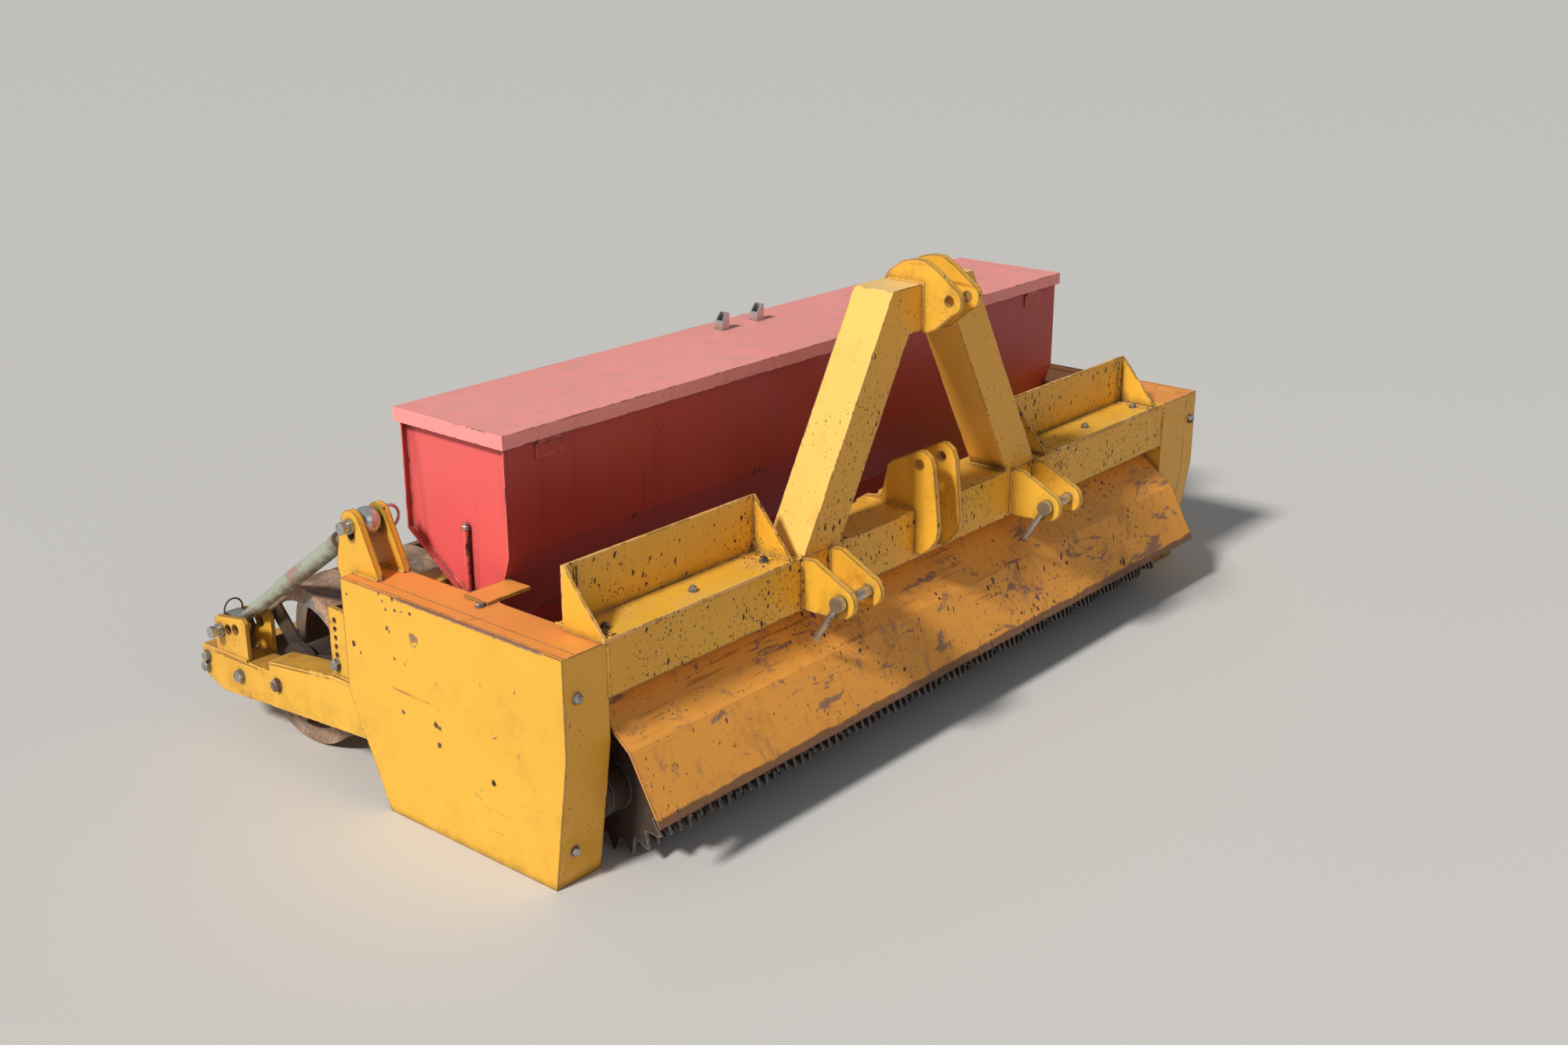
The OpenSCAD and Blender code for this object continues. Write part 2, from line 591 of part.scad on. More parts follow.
// Ears on the panel tops for the screw links' upper pins
ear_r = 27;
ear_foot_y = link_top_y - 72;
ear_y = link_top_y - 1;
ear_z = link_top_z + 2;
ear_slot = 15;
upper_out = 22;
top_x = half_w + panel_t - link_in;
top_end = link_gap / 2 + 12;
module link_ears() color(yellow) placed() both() for (x = [top_x - top_end, top_x + link_gap / 2])
    difference() {
        slab(x, 12) union() {
            polygon([[ear_foot_y, frame_h], [panel_l + 2, frame_h], [panel_l + 2, frame_h - 27],
                [link_top_y + 36, frame_h - 27], [link_top_y + 48, frame_h + 5], [link_top_y + 42, frame_h + 29],
                [link_top_y + 35, link_top_z - 28], [ear_y + ear_r - 0.5, ear_z], [ear_y, ear_z],
                [ear_y - 0.903 * ear_r, ear_z + 0.429 * ear_r]]);
            translate([ear_y, ear_z]) circle(ear_r);
        }
        rod_x(x - 1, 14, link_top_y, link_top_z, link_pin_r + run_gap);
        rod_x(x - 1, 14, link_top_y, link_top_z - ear_slot, link_pin_r);
        translate([x - 1, link_top_y - link_pin_r, link_top_z - ear_slot])
            cube([14, 2 * link_pin_r, ear_slot]);
    }
module link_ear_pins() color(steel) placed() both() {
    rod_x(top_x - top_end - 12, 2 * top_end + 12 + upper_out, link_top_y, link_top_z, link_pin_r);
    rod_x(top_x + top_end + seat_gap, 6, link_top_y, link_top_z, link_pin_r + 4);
    rod_x(top_x + top_end + upper_out - 8, 8, link_top_y, link_top_z, link_pin_r + 1.5);
}

// Screw links: a barrel hung on the panel's ears, a screw rod that reaches the arm
link_dx = low_x - top_x;
link_dy = link_low_y - link_top_y;
link_dz = link_low_z - link_top_z;
link_l = norm([link_dx, link_dy, link_dz]);
link_tilt = atan2(link_dz, norm([link_dx, link_dy]));
eye_r = 27;
low_eye_r = 30;
top_eye_w = 36;
low_eye_w = 30;
barrel_start = 100;
neck_r = 13.5;
neck_l = 110;
top_screw_r = 12;
screw_r = 10;
screw_start = barrel_start + 110;
eye_slack = 1.1;
module along_link() translate([top_x, link_top_y, link_top_z])
    rotate([link_tilt, 0, -atan2(link_dx, link_dy)]) rotate([-90, 0, 0]) children();
module link_barrel() difference() {
    union() {
        intersection() {
            translate([top_x, link_top_y, link_top_z]) rotate([0, 90, 0]) sphere(eye_r);
            rod_x(top_x - top_eye_w / 2, top_eye_w, link_top_y, link_top_z, eye_r + 1);
        }
        along_link() {
            cylinder(h = barrel_start + 10, r = top_screw_r);
            translate([0, 0, barrel_start]) cylinder(h = barrel_l, r = barrel_r);
            translate([0, 0, barrel_start - 12]) cylinder(h = 16, r = barrel_r + 2);
            translate([0, 0, barrel_start + barrel_l]) cylinder(h = 14, r1 = barrel_r, r2 = neck_r);
            translate([0, 0, barrel_start + barrel_l]) cylinder(h = neck_l, r = neck_r);
        }
    }
    rod_x(top_x - top_eye_w, 2 * top_eye_w, link_top_y, link_top_z, link_pin_r + run_gap);
    along_link() translate([0, 0, screw_start - 60])
        cylinder(h = barrel_l + neck_l, r = screw_r + run_gap);
}
module link_rod() difference() {
    union() {
        along_link() translate([0, 0, screw_start])
            cylinder(h = link_l - screw_start - link_pin_r - 4, r = screw_r);
        rod_x(low_x - low_eye_w / 2, low_eye_w, link_low_y, link_low_z, low_eye_r);
    }
    rod_x(low_x - low_eye_w, 2 * low_eye_w, link_low_y, link_low_z, link_pin_r + eye_slack);
}
module right_link_barrel() color(link_grey) placed() mirror([1, 0, 0]) link_barrel();
module left_link_barrel() color(link_grey) placed() link_barrel();
module right_link_rod() color(link_grey) placed() mirror([1, 0, 0]) link_rod();
module left_link_rod() color(link_grey) placed() link_rod();

// Rear roller: ring blades with curved plates between them, staggered from bay to bay
roller_half = arm_x0 - 16;
bay_count = floor(2 * roller_half / ring_w);
bay_w = (2 * roller_half - blade_t) / bay_count;
blade_r = roller_r - blade_d;
axle_end = arm_x0 + arm_w - sheet_t - 2;
plate_angle = 74;
plates_round = 3;
bay_turn = 60;
first_angle = 17;
spoke_w = 40;
spoke_every = 4;
module ring_blade() {
    rotate_extrude() translate([blade_r, 0]) square([blade_d, blade_t]);
}
module spokes() for (k = [0:plates_round - 1]) rotate([0, 0, k * 360 / plates_round])
    translate([roller_tube_r - 5, -spoke_w / 2, 1])
    cube([blade_r + 6 - roller_tube_r, spoke_w, blade_t - 2]);
module rear_roller() color(rust) placed() translate([0, roller_y, roller_z]) rotate([0, 90, 0]) {
    translate([0, 0, -roller_half]) cylinder(h = 2 * roller_half, r = roller_tube_r);
    translate([0, 0, -axle_end]) cylinder(h = 2 * axle_end, r = axle_r);
    for (i = [0:bay_count]) translate([0, 0, -roller_half + i * bay_w]) {
        ring_blade();
        if (i % spoke_every == 0) rotate([0, 0, first_angle]) spokes();
    }
    for (i = [0:bay_count - 1]) translate([0, 0, -roller_half + i * bay_w])
        for (k = [0:plates_round - 1])
            rotate([0, 0, first_angle + i * bay_turn + k * 360 / plates_round])
            rotate_extrude(angle = plate_angle)
            translate([roller_r - roller_t, blade_t - 1]) square([roller_t - 1, bay_w - blade_t + 2]);
}
module roller_bearings() color(rust) placed() both() difference() {
    rod_x(arm_x0 - 14, 14, roller_y, roller_z, 48);
    rod_x(arm_x0 - 15, 16, roller_y, roller_z, axle_r + turn_gap);
}

front_beam();
rear_cross_tube();
right_side_panel();
left_side_panel();
chain_cover();
mast_legs();
mast_cheeks();
mast_packer();
lower_ears();
lower_link_pins();
linch_rings();
centre_plates();
weight_trays();
front_shield();
shield_stays();
rotor_bearings();
star_rotor();
hopper_body();
hopper_lid();
lid_hinge_leaves();
lid_hinge_flaps();
lid_catches();
hopper_straps();
strap_brackets();
hopper_feet();
metering_housing();
metering_roller();
link_ears();
link_ear_pins();
arm_pivots();
right_arm();
left_arm();
arm_tabs();
arm_link_ears();
arm_link_pins();
tie_bar();
roller_bearings();
rear_roller();
right_link_barrel();
left_link_barrel();
right_link_rod();
left_link_rod();
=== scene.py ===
"""Looks of a tractor-mounted seed drill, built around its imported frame.

Every size is in metres. Places on the machine are given as on a workshop drawing: X from the middle
of the working width, Y back from the front beam's face, Z up from the ground.
"""

import math
import random

import bmesh
import bpy
from bpy.props import FloatProperty, FloatVectorProperty, IntProperty, PointerProperty
from mathutils import Matrix, Vector


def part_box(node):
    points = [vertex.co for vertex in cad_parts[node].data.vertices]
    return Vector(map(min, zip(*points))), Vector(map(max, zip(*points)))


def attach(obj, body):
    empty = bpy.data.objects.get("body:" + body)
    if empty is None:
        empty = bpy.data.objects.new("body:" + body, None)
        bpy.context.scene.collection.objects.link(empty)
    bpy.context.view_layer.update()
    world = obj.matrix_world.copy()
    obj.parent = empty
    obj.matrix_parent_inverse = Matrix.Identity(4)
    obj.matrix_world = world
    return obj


bl_info = {
    "name": "Seed drill looks",
    "version": (1, 0, 0),
    "blender": (4, 5, 0),
    "location": "View3D > Sidebar > Seed drill",
    "description": "Paint, wear, bolts, welds and studio for a packed seed drill",
    "category": "Object",
}

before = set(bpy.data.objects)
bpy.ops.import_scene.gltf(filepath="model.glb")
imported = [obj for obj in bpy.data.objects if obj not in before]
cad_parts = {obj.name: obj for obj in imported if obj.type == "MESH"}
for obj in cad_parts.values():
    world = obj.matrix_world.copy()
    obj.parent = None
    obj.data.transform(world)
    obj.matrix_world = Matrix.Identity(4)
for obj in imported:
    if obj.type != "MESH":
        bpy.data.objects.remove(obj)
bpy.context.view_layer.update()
MM = 0.001

# Main places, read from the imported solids
BEAM_LO, BEAM_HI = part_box("front_beam")
MID_X = (BEAM_LO[0] + BEAM_HI[0]) / 2
FACE_Y = BEAM_LO[1]
# The same in millimetres on the drawing
FRAME_TOP = BEAM_HI[2] / MM
HALF_W = (BEAM_HI[0] - BEAM_LO[0]) / 2 / MM
MAST_MID = (sum(p[0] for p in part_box("mast_cheeks")) / 2 - MID_X) / MM
LINK_TOP = (560, 512)
LINK_LOW = (970, 213)
# Lamp places and aim in metres, and the way that faces the sun; enamel facing it is paler, partly
# bleaching, partly painted light
SUN_PLACE = (-3.95, 0.22, 3.9)
FILL_PLACE = (-1.5, -4.2, 3.0)
LAMP_AIM = Vector((0.0, 0.0, 0.3))
SUNNY_SIDE = (-0.72, 0.05, 0.69)
FLOOR_HALF = 70.0
FLOOR_COLOUR = (0.66, 0.65, 0.63, 1.0)
SKY_COLOUR = (0.88, 0.93, 1.0, 1.0)
SUN_COLOUR = (1.0, 0.97, 0.92)


def at(x, y, z):
    """A place given in millimetres on the drawing, as a point of the frame in metres."""
    return Vector((MID_X + x * MM, FACE_Y + y * MM, z * MM))


def drawn_box(name):
    """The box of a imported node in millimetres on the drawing: its low and its high corner."""
    return [((x - MID_X) / MM, (y - FACE_Y) / MM, z / MM) for x, y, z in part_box(name)]


def mirrored(runs, middle=0.0):
    """Runs of drawing places given for the left side: all their mirror images, then all of them."""
    return [[(middle + s * x, y, z) for x, y, z in run] for s in (-1, 1) for run in runs]


# ---------------------------------------------------------------- settings


class PaintSettings(bpy.types.PropertyGroup):
    """Colours of the finishes."""

    yellow: FloatVectorProperty(
        name="Yellow", description="Enamel of the frame", subtype="COLOR", size=3,
        default=(0.84, 0.385, 0.024))
    # Faded colours show where the enamel fades at random and on faces turned to the sun, where they
    # are partly painted light
    yellow_faded_and_lit: FloatVectorProperty(
        name="Faded yellow", description="Enamel bleached by the sun", subtype="COLOR", size=3,
        default=(0.92, 0.515, 0.050))
    scoured: FloatVectorProperty(
        name="Scoured yellow", description="Enamel of the shield, stained by soil", subtype="COLOR",
        size=3, default=(0.86, 0.365, 0.055))
    red: FloatVectorProperty(
        name="Red", description="Enamel of the hopper", subtype="COLOR", size=3,
        default=(0.48, 0.047, 0.042))
    # Also paler on sun-facing faces: partly bleaching, partly painted light
    red_faded_and_lit: FloatVectorProperty(
        name="Faded red", description="Hopper enamel bleached by the sun", subtype="COLOR", size=3,
        default=(0.90, 0.135, 0.130))
    lid: FloatVectorProperty(
        name="Lid", description="Bleached enamel of the lid", subtype="COLOR", size=3,
        default=(0.97, 0.325, 0.305))
    link: FloatVectorProperty(
        name="Link grey", description="Paint of the screw links", subtype="COLOR", size=3,
        default=(0.30, 0.325, 0.255))
    steel: FloatVectorProperty(
        name="Steel", description="Plated steel of pins and bolts", subtype="COLOR", size=3,
        default=(0.50, 0.50, 0.47))
    rust: FloatVectorProperty(
        name="Rust", description="Old rust", subtype="COLOR", size=3,
        default=(0.115, 0.048, 0.024))


class WearSettings(bpy.types.PropertyGroup):
    """How worn the machine is."""

    edge_width: FloatProperty(
        name="Edge width", description="Reach of worn edges", subtype="DISTANCE", default=0.006)
    bevel: FloatProperty(
        name="Edge round", description="Rounding of sheet edges", subtype="DISTANCE",
        default=0.0018)
    seed: IntProperty(name="Seed", description="Seed of the random draws", default=7)


class StageSettings(bpy.types.PropertyGroup):
    """Camera and light."""

    camera_place: FloatVectorProperty(
        name="Camera", description="Where the camera stands", subtype="TRANSLATION", size=3,
        default=(-2.780, -2.385, 1.567))
    camera_azimuth: FloatProperty(
        name="Azimuth", description="Angle of view from +Y towards +X, in degrees", default=50.05)
    camera_fall: FloatProperty(
        name="Fall", description="Angle of view below the horizon, in degrees", default=19.52)
    lens: FloatProperty(
        name="Lens", description="Focal length in millimetres on a 36 mm sensor", default=41.35)
    key_power: FloatProperty(name="Key", description="Strength of the sun", default=3.05)
    key_softness: FloatProperty(
        name="Key softness", description="Angle that the sun fills", subtype="ANGLE", default=0.15)
    fill_power: FloatProperty(
        name="Fill", description="Power of the fill light", subtype="POWER", default=20.0)
    sky: FloatProperty(name="Sky", description="Strength of the world", default=0.20)


def settings():
    scene = bpy.context.scene
    return scene.drill_paint, scene.drill_wear, scene.drill_stage


# ---------------------------------------------------------------- node helpers


def linear(rgb):
    return (*rgb, 1.0)


class Net:
    """Short calls for building a node tree."""

    def __init__(self, tree):
        self.tree = tree

    def node(self, kind, **values):
        n = self.tree.nodes.new(kind)
        for key, value in values.items():
            setattr(n, key, value)
        return n

    def put(self, socket, value):
        if isinstance(value, bpy.types.NodeSocket):
            self.tree.links.new(value, socket)
        else:
            socket.default_value = value

    def noise(self, where, scale, detail=4.0, rough=0.55, distort=0.0):
        n = self.node("ShaderNodeTexNoise")
        self.put(n.inputs["Vector"], where)
        self.put(n.inputs["Scale"], scale)
        n.inputs["Detail"].default_value = detail
        n.inputs["Roughness"].default_value = rough
        n.inputs["Distortion"].default_value = distort
        return n.outputs["Fac"]

    def ramp(self, fac, low, high, from_value=0.0, to_value=1.0):
        n = self.node("ShaderNodeMapRange", clamp=True, interpolation_type="SMOOTHSTEP")
        self.put(n.inputs["Value"], fac)
        self.put(n.inputs["From Min"], low)
        self.put(n.inputs["From Max"], high)
        self.put(n.inputs["To Min"], from_value)
        self.put(n.inputs["To Max"], to_value)
        return n.outputs["Result"]

    def math(self, op, a, b=0.0, clamp=False):
        n = self.node("ShaderNodeMath", operation=op, use_clamp=clamp)
        self.put(n.inputs[0], a)
        self.put(n.inputs[1], b)
        return n.outputs[0]

    def plus(self, a, b, clamp=False):
        return self.math("ADD", a, b, clamp)

    def minus(self, a, b, clamp=False):
        return self.math("SUBTRACT", a, b, clamp)

    def times(self, a, b):
        return self.math("MULTIPLY", a, b)

    def larger(self, a, b):
        return self.math("MAXIMUM", a, b)

    def measure(self, op, a, b=(0.0, 0.0, 0.0)):
        """A number from two vectors: DISTANCE or DOT_PRODUCT; LENGTH takes the first alone."""
        n = self.node("ShaderNodeVectorMath", operation=op)
        self.put(n.inputs[0], a)
        self.put(n.inputs[1], b)
        return n.outputs["Value"]

    def mix(self, fac, a, b):
        """A colour mix. Its colour sockets are inputs 6 and 7 and output 2."""
        n = self.node("ShaderNodeMix", data_type="RGBA", clamp_factor=True)
        self.put(n.inputs[0], fac)
        self.put(n.inputs[6], a)
        self.put(n.inputs[7], b)
        return n.outputs[2]

    def mixf(self, fac, a, b):
        n = self.node("ShaderNodeMix", data_type="FLOAT", clamp_factor=True)
        self.put(n.inputs[0], fac)
        self.put(n.inputs[2], a)
        self.put(n.inputs[3], b)
        return n.outputs[0]

    def wash(self, base, mask, share, colour):
        """The base with a colour over it where mask is 1. share is how much the colour covers."""
        return self.mix(self.times(mask, share), base, colour)

    def place(self):
        return self.node("ShaderNodeTexCoord").outputs["Object"]

    def normal(self):
        return self.node("ShaderNodeNewGeometry").outputs["Normal"]

    def mapped(self, scale, turn=(0.0, 0.0, 0.0), shift=(0.0, 0.0, 0.0)):
        """The place on the part, stretched, turned and shifted."""
        n = self.node("ShaderNodeMapping")
        self.put(n.inputs["Vector"], self.place())
        n.inputs["Location"].default_value = shift
        n.inputs["Rotation"].default_value = turn
        n.inputs["Scale"].default_value = scale
        return n.outputs["Vector"]

    def split(self, vector):
        n = self.node("ShaderNodeSeparateXYZ")
        self.put(n.inputs[0], vector)
        return n.outputs

    def up(self):
        return self.split(self.normal())["Z"]

    def height_above_ground(self):
        return self.split(self.place())["Z"]


def new_group(name, inputs, outputs):
    group = bpy.data.node_groups.new(name, "ShaderNodeTree")
    for label, kind, default in inputs:
        socket = group.interface.new_socket(label, in_out="INPUT", socket_type=kind)
        if default is not None:
            socket.default_value = default
    for label, kind in outputs:
        group.interface.new_socket(label, in_out="OUTPUT", socket_type=kind)
    net = Net(group)
    return group, net, net.node("NodeGroupInput").outputs, net.node("NodeGroupOutput").inputs


def edge_wear_and_highlight_group():
    """Masks along bends of the sheet: Chip is bare metal in broken runs, Rub marks the whole bend,
    which carries a painted highlight on enamel and polish with a painted highlight on worn steel.
    """
    group, net, given, out = new_group(
        "edge_wear_and_highlight",
        [("Width", "NodeSocketFloat", 0.006), ("Amount", "NodeSocketFloat", 0.5)],
        [("Chip", "NodeSocketFloat"), ("RubAndHighlight", "NodeSocketFloat")])
    bevel = net.node("ShaderNodeBevel", samples=4)
    net.put(bevel.inputs["Radius"], given["Width"])
    level_with = net.measure("DOT_PRODUCT", bevel.outputs[0], net.normal())
    bend = net.ramp(net.minus(1.0, level_with), 0.005, 0.12)
    breakup = net.noise(net.place(), 55.0, 6.0, 0.7)
    patch = net.noise(net.place(), 6.0, 3.0, 0.6)
    level = net.times(net.plus(breakup, net.times(patch, 1.1)), bend)
    limit = net.minus(1.4, net.times(given["Amount"], 0.85))
    net.put(out["Chip"], net.ramp(level, limit, net.plus(limit, 0.08)))
    net.put(out["RubAndHighlight"], bend)
    return group


def dirt_and_shade_in_corners_group():
    """Darkening where pieces meet, from ambient occlusion: partly dirt and partly painted shade. 1
    in corners, 0 on open faces.
    """
    group, net, given, out = new_group(
        "corner_dirt_and_shade", [("Reach", "NodeSocketFloat", 0.03)], [("Mask", "NodeSocketFloat")])
    shade = net.node("ShaderNodeAmbientOcclusion", samples=4)
    net.put(shade.inputs["Distance"], given["Reach"])
    ragged = net.times(net.noise(net.place(), 38.0, 5.0, 0.65), 0.5)
    net.put(out["Mask"], net.ramp(net.plus(shade.outputs["AO"], ragged), 0.62, 1.1, 1.0, 0.0))
    return group


def specks_group():
    """Stone chips, a little taller than wide, in clusters: large, fine and single big ones."""
    group, net, given, out = new_group(
        "chip_specks",
        [("Size", "NodeSocketFloat", 60.0), ("Amount", "NodeSocketFloat", 0.5)],
        [("Mask", "NodeSocketFloat")])
    warp = net.noise(net.place(), 90.0, 3.0)
    shift = net.node("ShaderNodeCombineXYZ")
    for axis in range(3):
        net.put(shift.inputs[axis], net.times(warp, 0.012))
    cluster = net.noise(net.place(), 4.1, 4.0, 0.6)
    facing_x, facing_y, _ = net.split(net.normal())
    front = net.times(net.ramp(facing_y, -0.9, -0.2, 1.0, 0.0), 0.08)
    side = net.times(net.ramp(net.math("ABSOLUTE", facing_x), 0.6, 0.95), -0.10)
    facing = net.plus(front, side)
    masks = []
    for share, lift, most in ((1.0, 0.0, 0.4), (2.3, 0.06, 0.4), (0.2, -0.03, 0.2)):
        moved = net.node("ShaderNodeVectorMath", operation="ADD")
        net.put(moved.inputs[0], net.mapped((1.0, 1.0, 0.55)))
        net.put(moved.inputs[1], shift.outputs[0])
        cells = net.node("ShaderNodeTexVoronoi", feature="F1")
        net.put(cells.inputs["Vector"], moved.outputs[0])
        net.put(cells.inputs["Scale"], net.times(given["Size"], share))
        pick = net.node("ShaderNodeSeparateColor")
        net.put(pick.inputs[0], cells.outputs["Color"])
        chance = net.plus(pick.outputs[0], net.times(cluster, 1.1))
        chance = net.plus(net.plus(chance, lift), facing)
        start = net.minus(1.9, given["Amount"])
        radius = net.times(net.ramp(chance, start, net.plus(start, 0.4)), most)
        masks.append(net.ramp(net.minus(radius, cells.outputs["Distance"]), 0.0, 0.05))
    net.put(out["Mask"], net.larger(net.larger(masks[0], masks[1]), masks[2]))
    return group


def fading_and_sun_light_group():
    """Slow changes of tone: bleaching, rain streaks, rust bleed, grime near the ground and dust.
    The Sun mask is 1 on faces turned to the sun, which the enamel shows paler: partly bleaching,
    partly painted light.
    """
    group, net, _, out = new_group(
        "weather_and_sun_light_tone", [],
        [("Fade", "NodeSocketFloat"), ("Sun", "NodeSocketFloat"), ("Streak", "NodeSocketFloat"),
         ("Bleed", "NodeSocketFloat"), ("Grime", "NodeSocketFloat"), ("Dust", "NodeSocketFloat")])
    where = net.place()
    broad = net.noise(where, 2.3, 5.0, 0.6)
    fine = net.noise(where, 60.0, 4.0, 0.6)
    net.put(out["Fade"], net.plus(net.ramp(broad, 0.3, 0.7, 0.0, 0.8), net.times(fine, 0.25)))
    net.put(out["Sun"], net.ramp(net.measure("DOT_PRODUCT", net.normal(), SUNNY_SIDE), 0.0, 0.7))
    streaks = net.noise(net.mapped((34.0, 34.0, 2.4)), 1.0, 4.0, 0.6)
    net.put(out["Streak"], net.ramp(streaks, 0.54, 0.74))
    bleed = net.times(net.ramp(net.noise(where, 7.5, 5.0, 0.62), 0.5, 0.72),
                      net.ramp(net.noise(where, 46.0, 4.0, 0.7), 0.35, 0.7))
    net.put(out["Bleed"], bleed)
    low = net.ramp(net.height_above_ground(), 0.0, 0.22, 1.0, 0.0)
    grime = net.times(low, net.ramp(net.noise(where, 13.0, 6.0, 0.68), 0.42, 0.66))
    net.put(out["Grime"], grime)
    top = net.ramp(net.up(), 0.6, 0.98)
    net.put(out["Dust"], net.times(top, net.ramp(net.noise(where, 16.0, 5.0), 0.35, 0.75)))
    return group


def scuffs_group():
    """Long shallow scratches and smeared scrapes where gear has been dragged along the sheet."""
    group, net, given, out = new_group(
        "scrapes",
        [("Amount", "NodeSocketFloat", 0.3)],
        [("Scratch", "NodeSocketFloat"), ("Patch", "NodeSocketFloat")])
    drawn_out = net.mapped((5.0, 5.0, 170.0), (math.radians(11), math.radians(8), 0.0))
    line = net.noise(drawn_out, 1.0, 3.0, 0.55)
    where = net.ramp(net.noise(net.place(), 5.0, 3.0, 0.6), 0.5, 0.62)
    limit = net.minus(0.80, net.times(given["Amount"], 0.25))
    scratch = net.ramp(line, limit, net.plus(limit, 0.025))
    net.put(out["Scratch"], net.times(scratch, where))
    smear = net.mapped((8.0, 24.0, 17.0), (0.0, math.radians(-35), math.radians(20)))
    blot = net.noise(smear, 1.0, 7.0, 0.68, 0.5)
    edge = net.minus(0.75, net.times(given["Amount"], 0.2))
    net.put(out["Patch"], net.ramp(blot, edge, net.plus(edge, 0.05)))
    return group


def surface_group():
    """Fine bump shared by sprayed and rusted faces."""
    group, net, given, out = new_group(
        "skin_relief",
        [("Ripple", "NodeSocketFloat", 0.3), ("Pits", "NodeSocketFloat", 0.2)],
        [("Height", "NodeSocketFloat")])
    ripple = net.times(net.noise(net.place(), 14.0, 2.0), given["Ripple"])
    pits = net.times(net.noise(net.place(), 210.0, 5.0, 0.7), given["Pits"])
    net.put(out["Height"], net.plus(ripple, pits))
    return group


GROUPS = {}


def groups():
    if not GROUPS:
        GROUPS.update(edges=edge_wear_and_highlight_group(), specks=specks_group(), tone=fading_and_sun_light_group(),
                      relief=surface_group(), crevice=dirt_and_shade_in_corners_group(), scrapes=scuffs_group())
    return GROUPS


def use(net, key, **values):
    n = net.node("ShaderNodeGroup", node_tree=groups()[key])
    for label, value in values.items():
        net.put(n.inputs[label], value)
    return n.outputs


def new_material(name):
    material = bpy.data.materials.new(name)
    material.use_nodes = True
    net = Net(material.node_tree)
    shader = material.node_tree.nodes["Principled BSDF"]
    return material, net, shader


def bump(net, shader, height, distance, strength=1.0):
    n = net.node("ShaderNodeBump")
    n.inputs["Strength"].default_value = strength
    n.inputs["Distance"].default_value = distance
    net.put(n.inputs["Height"], height)
    net.put(shader.inputs["Normal"], n.outputs["Normal"])


BARE = linear((0.215, 0.125, 0.110))
DARK_RUST = linear((0.040, 0.018, 0.011))
EARTH = linear((0.11, 0.075, 0.045))
# Near-black laid in corners: partly soot and dirt, partly painted shade
SOOT_AND_SHADE = linear((0.035, 0.024, 0.018))
BLEED = linear((0.46, 0.165, 0.030))
DUST = linear((0.50, 0.40, 0.27))
ORANGE = linear((0.92, 0.32, 0.075))
# Pale rim along edges: a painted highlight
RIM = linear((0.95, 0.56, 0.33))
SILVER = linear((0.66, 0.67, 0.66))
# Bright worn steel on edges: polish with a painted highlight
POLISHED_AND_LIT = linear((0.62, 0.60, 0.57))
RUBBED_LINE = linear((0.30, 0.15, 0.125))
DIRTY_LIP = linear((0.165, 0.080, 0.045))
# Near-black inside the roller's hollow: partly soil, partly painted shade
CAKED_SOIL_AND_SHADE = linear((0.030, 0.021, 0.017))
LINK_STAIN = linear((0.17, 0.14, 0.095))
LINK_PRIMER = linear((0.40, 0.20, 0.145))
LINK_UNDERSIDE = linear((0.20, 0.13, 0.075))
LINK_NECK = linear((0.235, 0.15, 0.095))
# Pale mast tops: painted light on upward faces
MAST_TOP = linear((0.96, 0.66, 0.27))
ARM_SOIL = linear((0.30, 0.15, 0.05))


def shaded(colour, share):
    return linear([min(1.0, c * share) for c in colour])


def marks(net, spots):
    """A mask of single marks. spots lists (x, y, z, radius) in millimetres on the drawing."""
    ragged = net.times(net.noise(net.place(), 130.0, 4.0, 0.65), 0.009)
    total = None
    for x, y, z, radius in spots:
        reach = net.plus(net.measure("DISTANCE", net.place(), at(x, y, z)), ragged)
        spot = net.ramp(reach, radius * MM + 0.003, radius * MM + 0.0055, 1.0, 0.0)
        total = net.larger(total, spot) if total else spot
    return total


def rubbed_line(net, x, z, near_y, far_y):
    """A mask of scraped paint along a straight edge of the drawing, in broken runs."""
    place_x, place_y, place_z = net.split(net.place())
    off_x = net.math("ABSOLUTE", net.minus(place_x, at(x, 0, 0).x))
    off_z = net.math("ABSOLUTE", net.minus(place_z, z * MM))
    along = net.math("ABSOLUTE", net.minus(place_y, at(0, (near_y + far_y) / 2, 0).y))
    ragged = net.times(net.noise(net.place(), 120.0, 5.0, 0.7), 0.010)
    reach = net.plus(net.larger(off_x, off_z), ragged)
    half = (far_y - near_y) * MM / 2
    return net.times(net.ramp(reach, 0.0085, 0.0105, 1.0, 0.0),
                     net.ramp(along, half * 0.92, half, 1.0, 0.0))


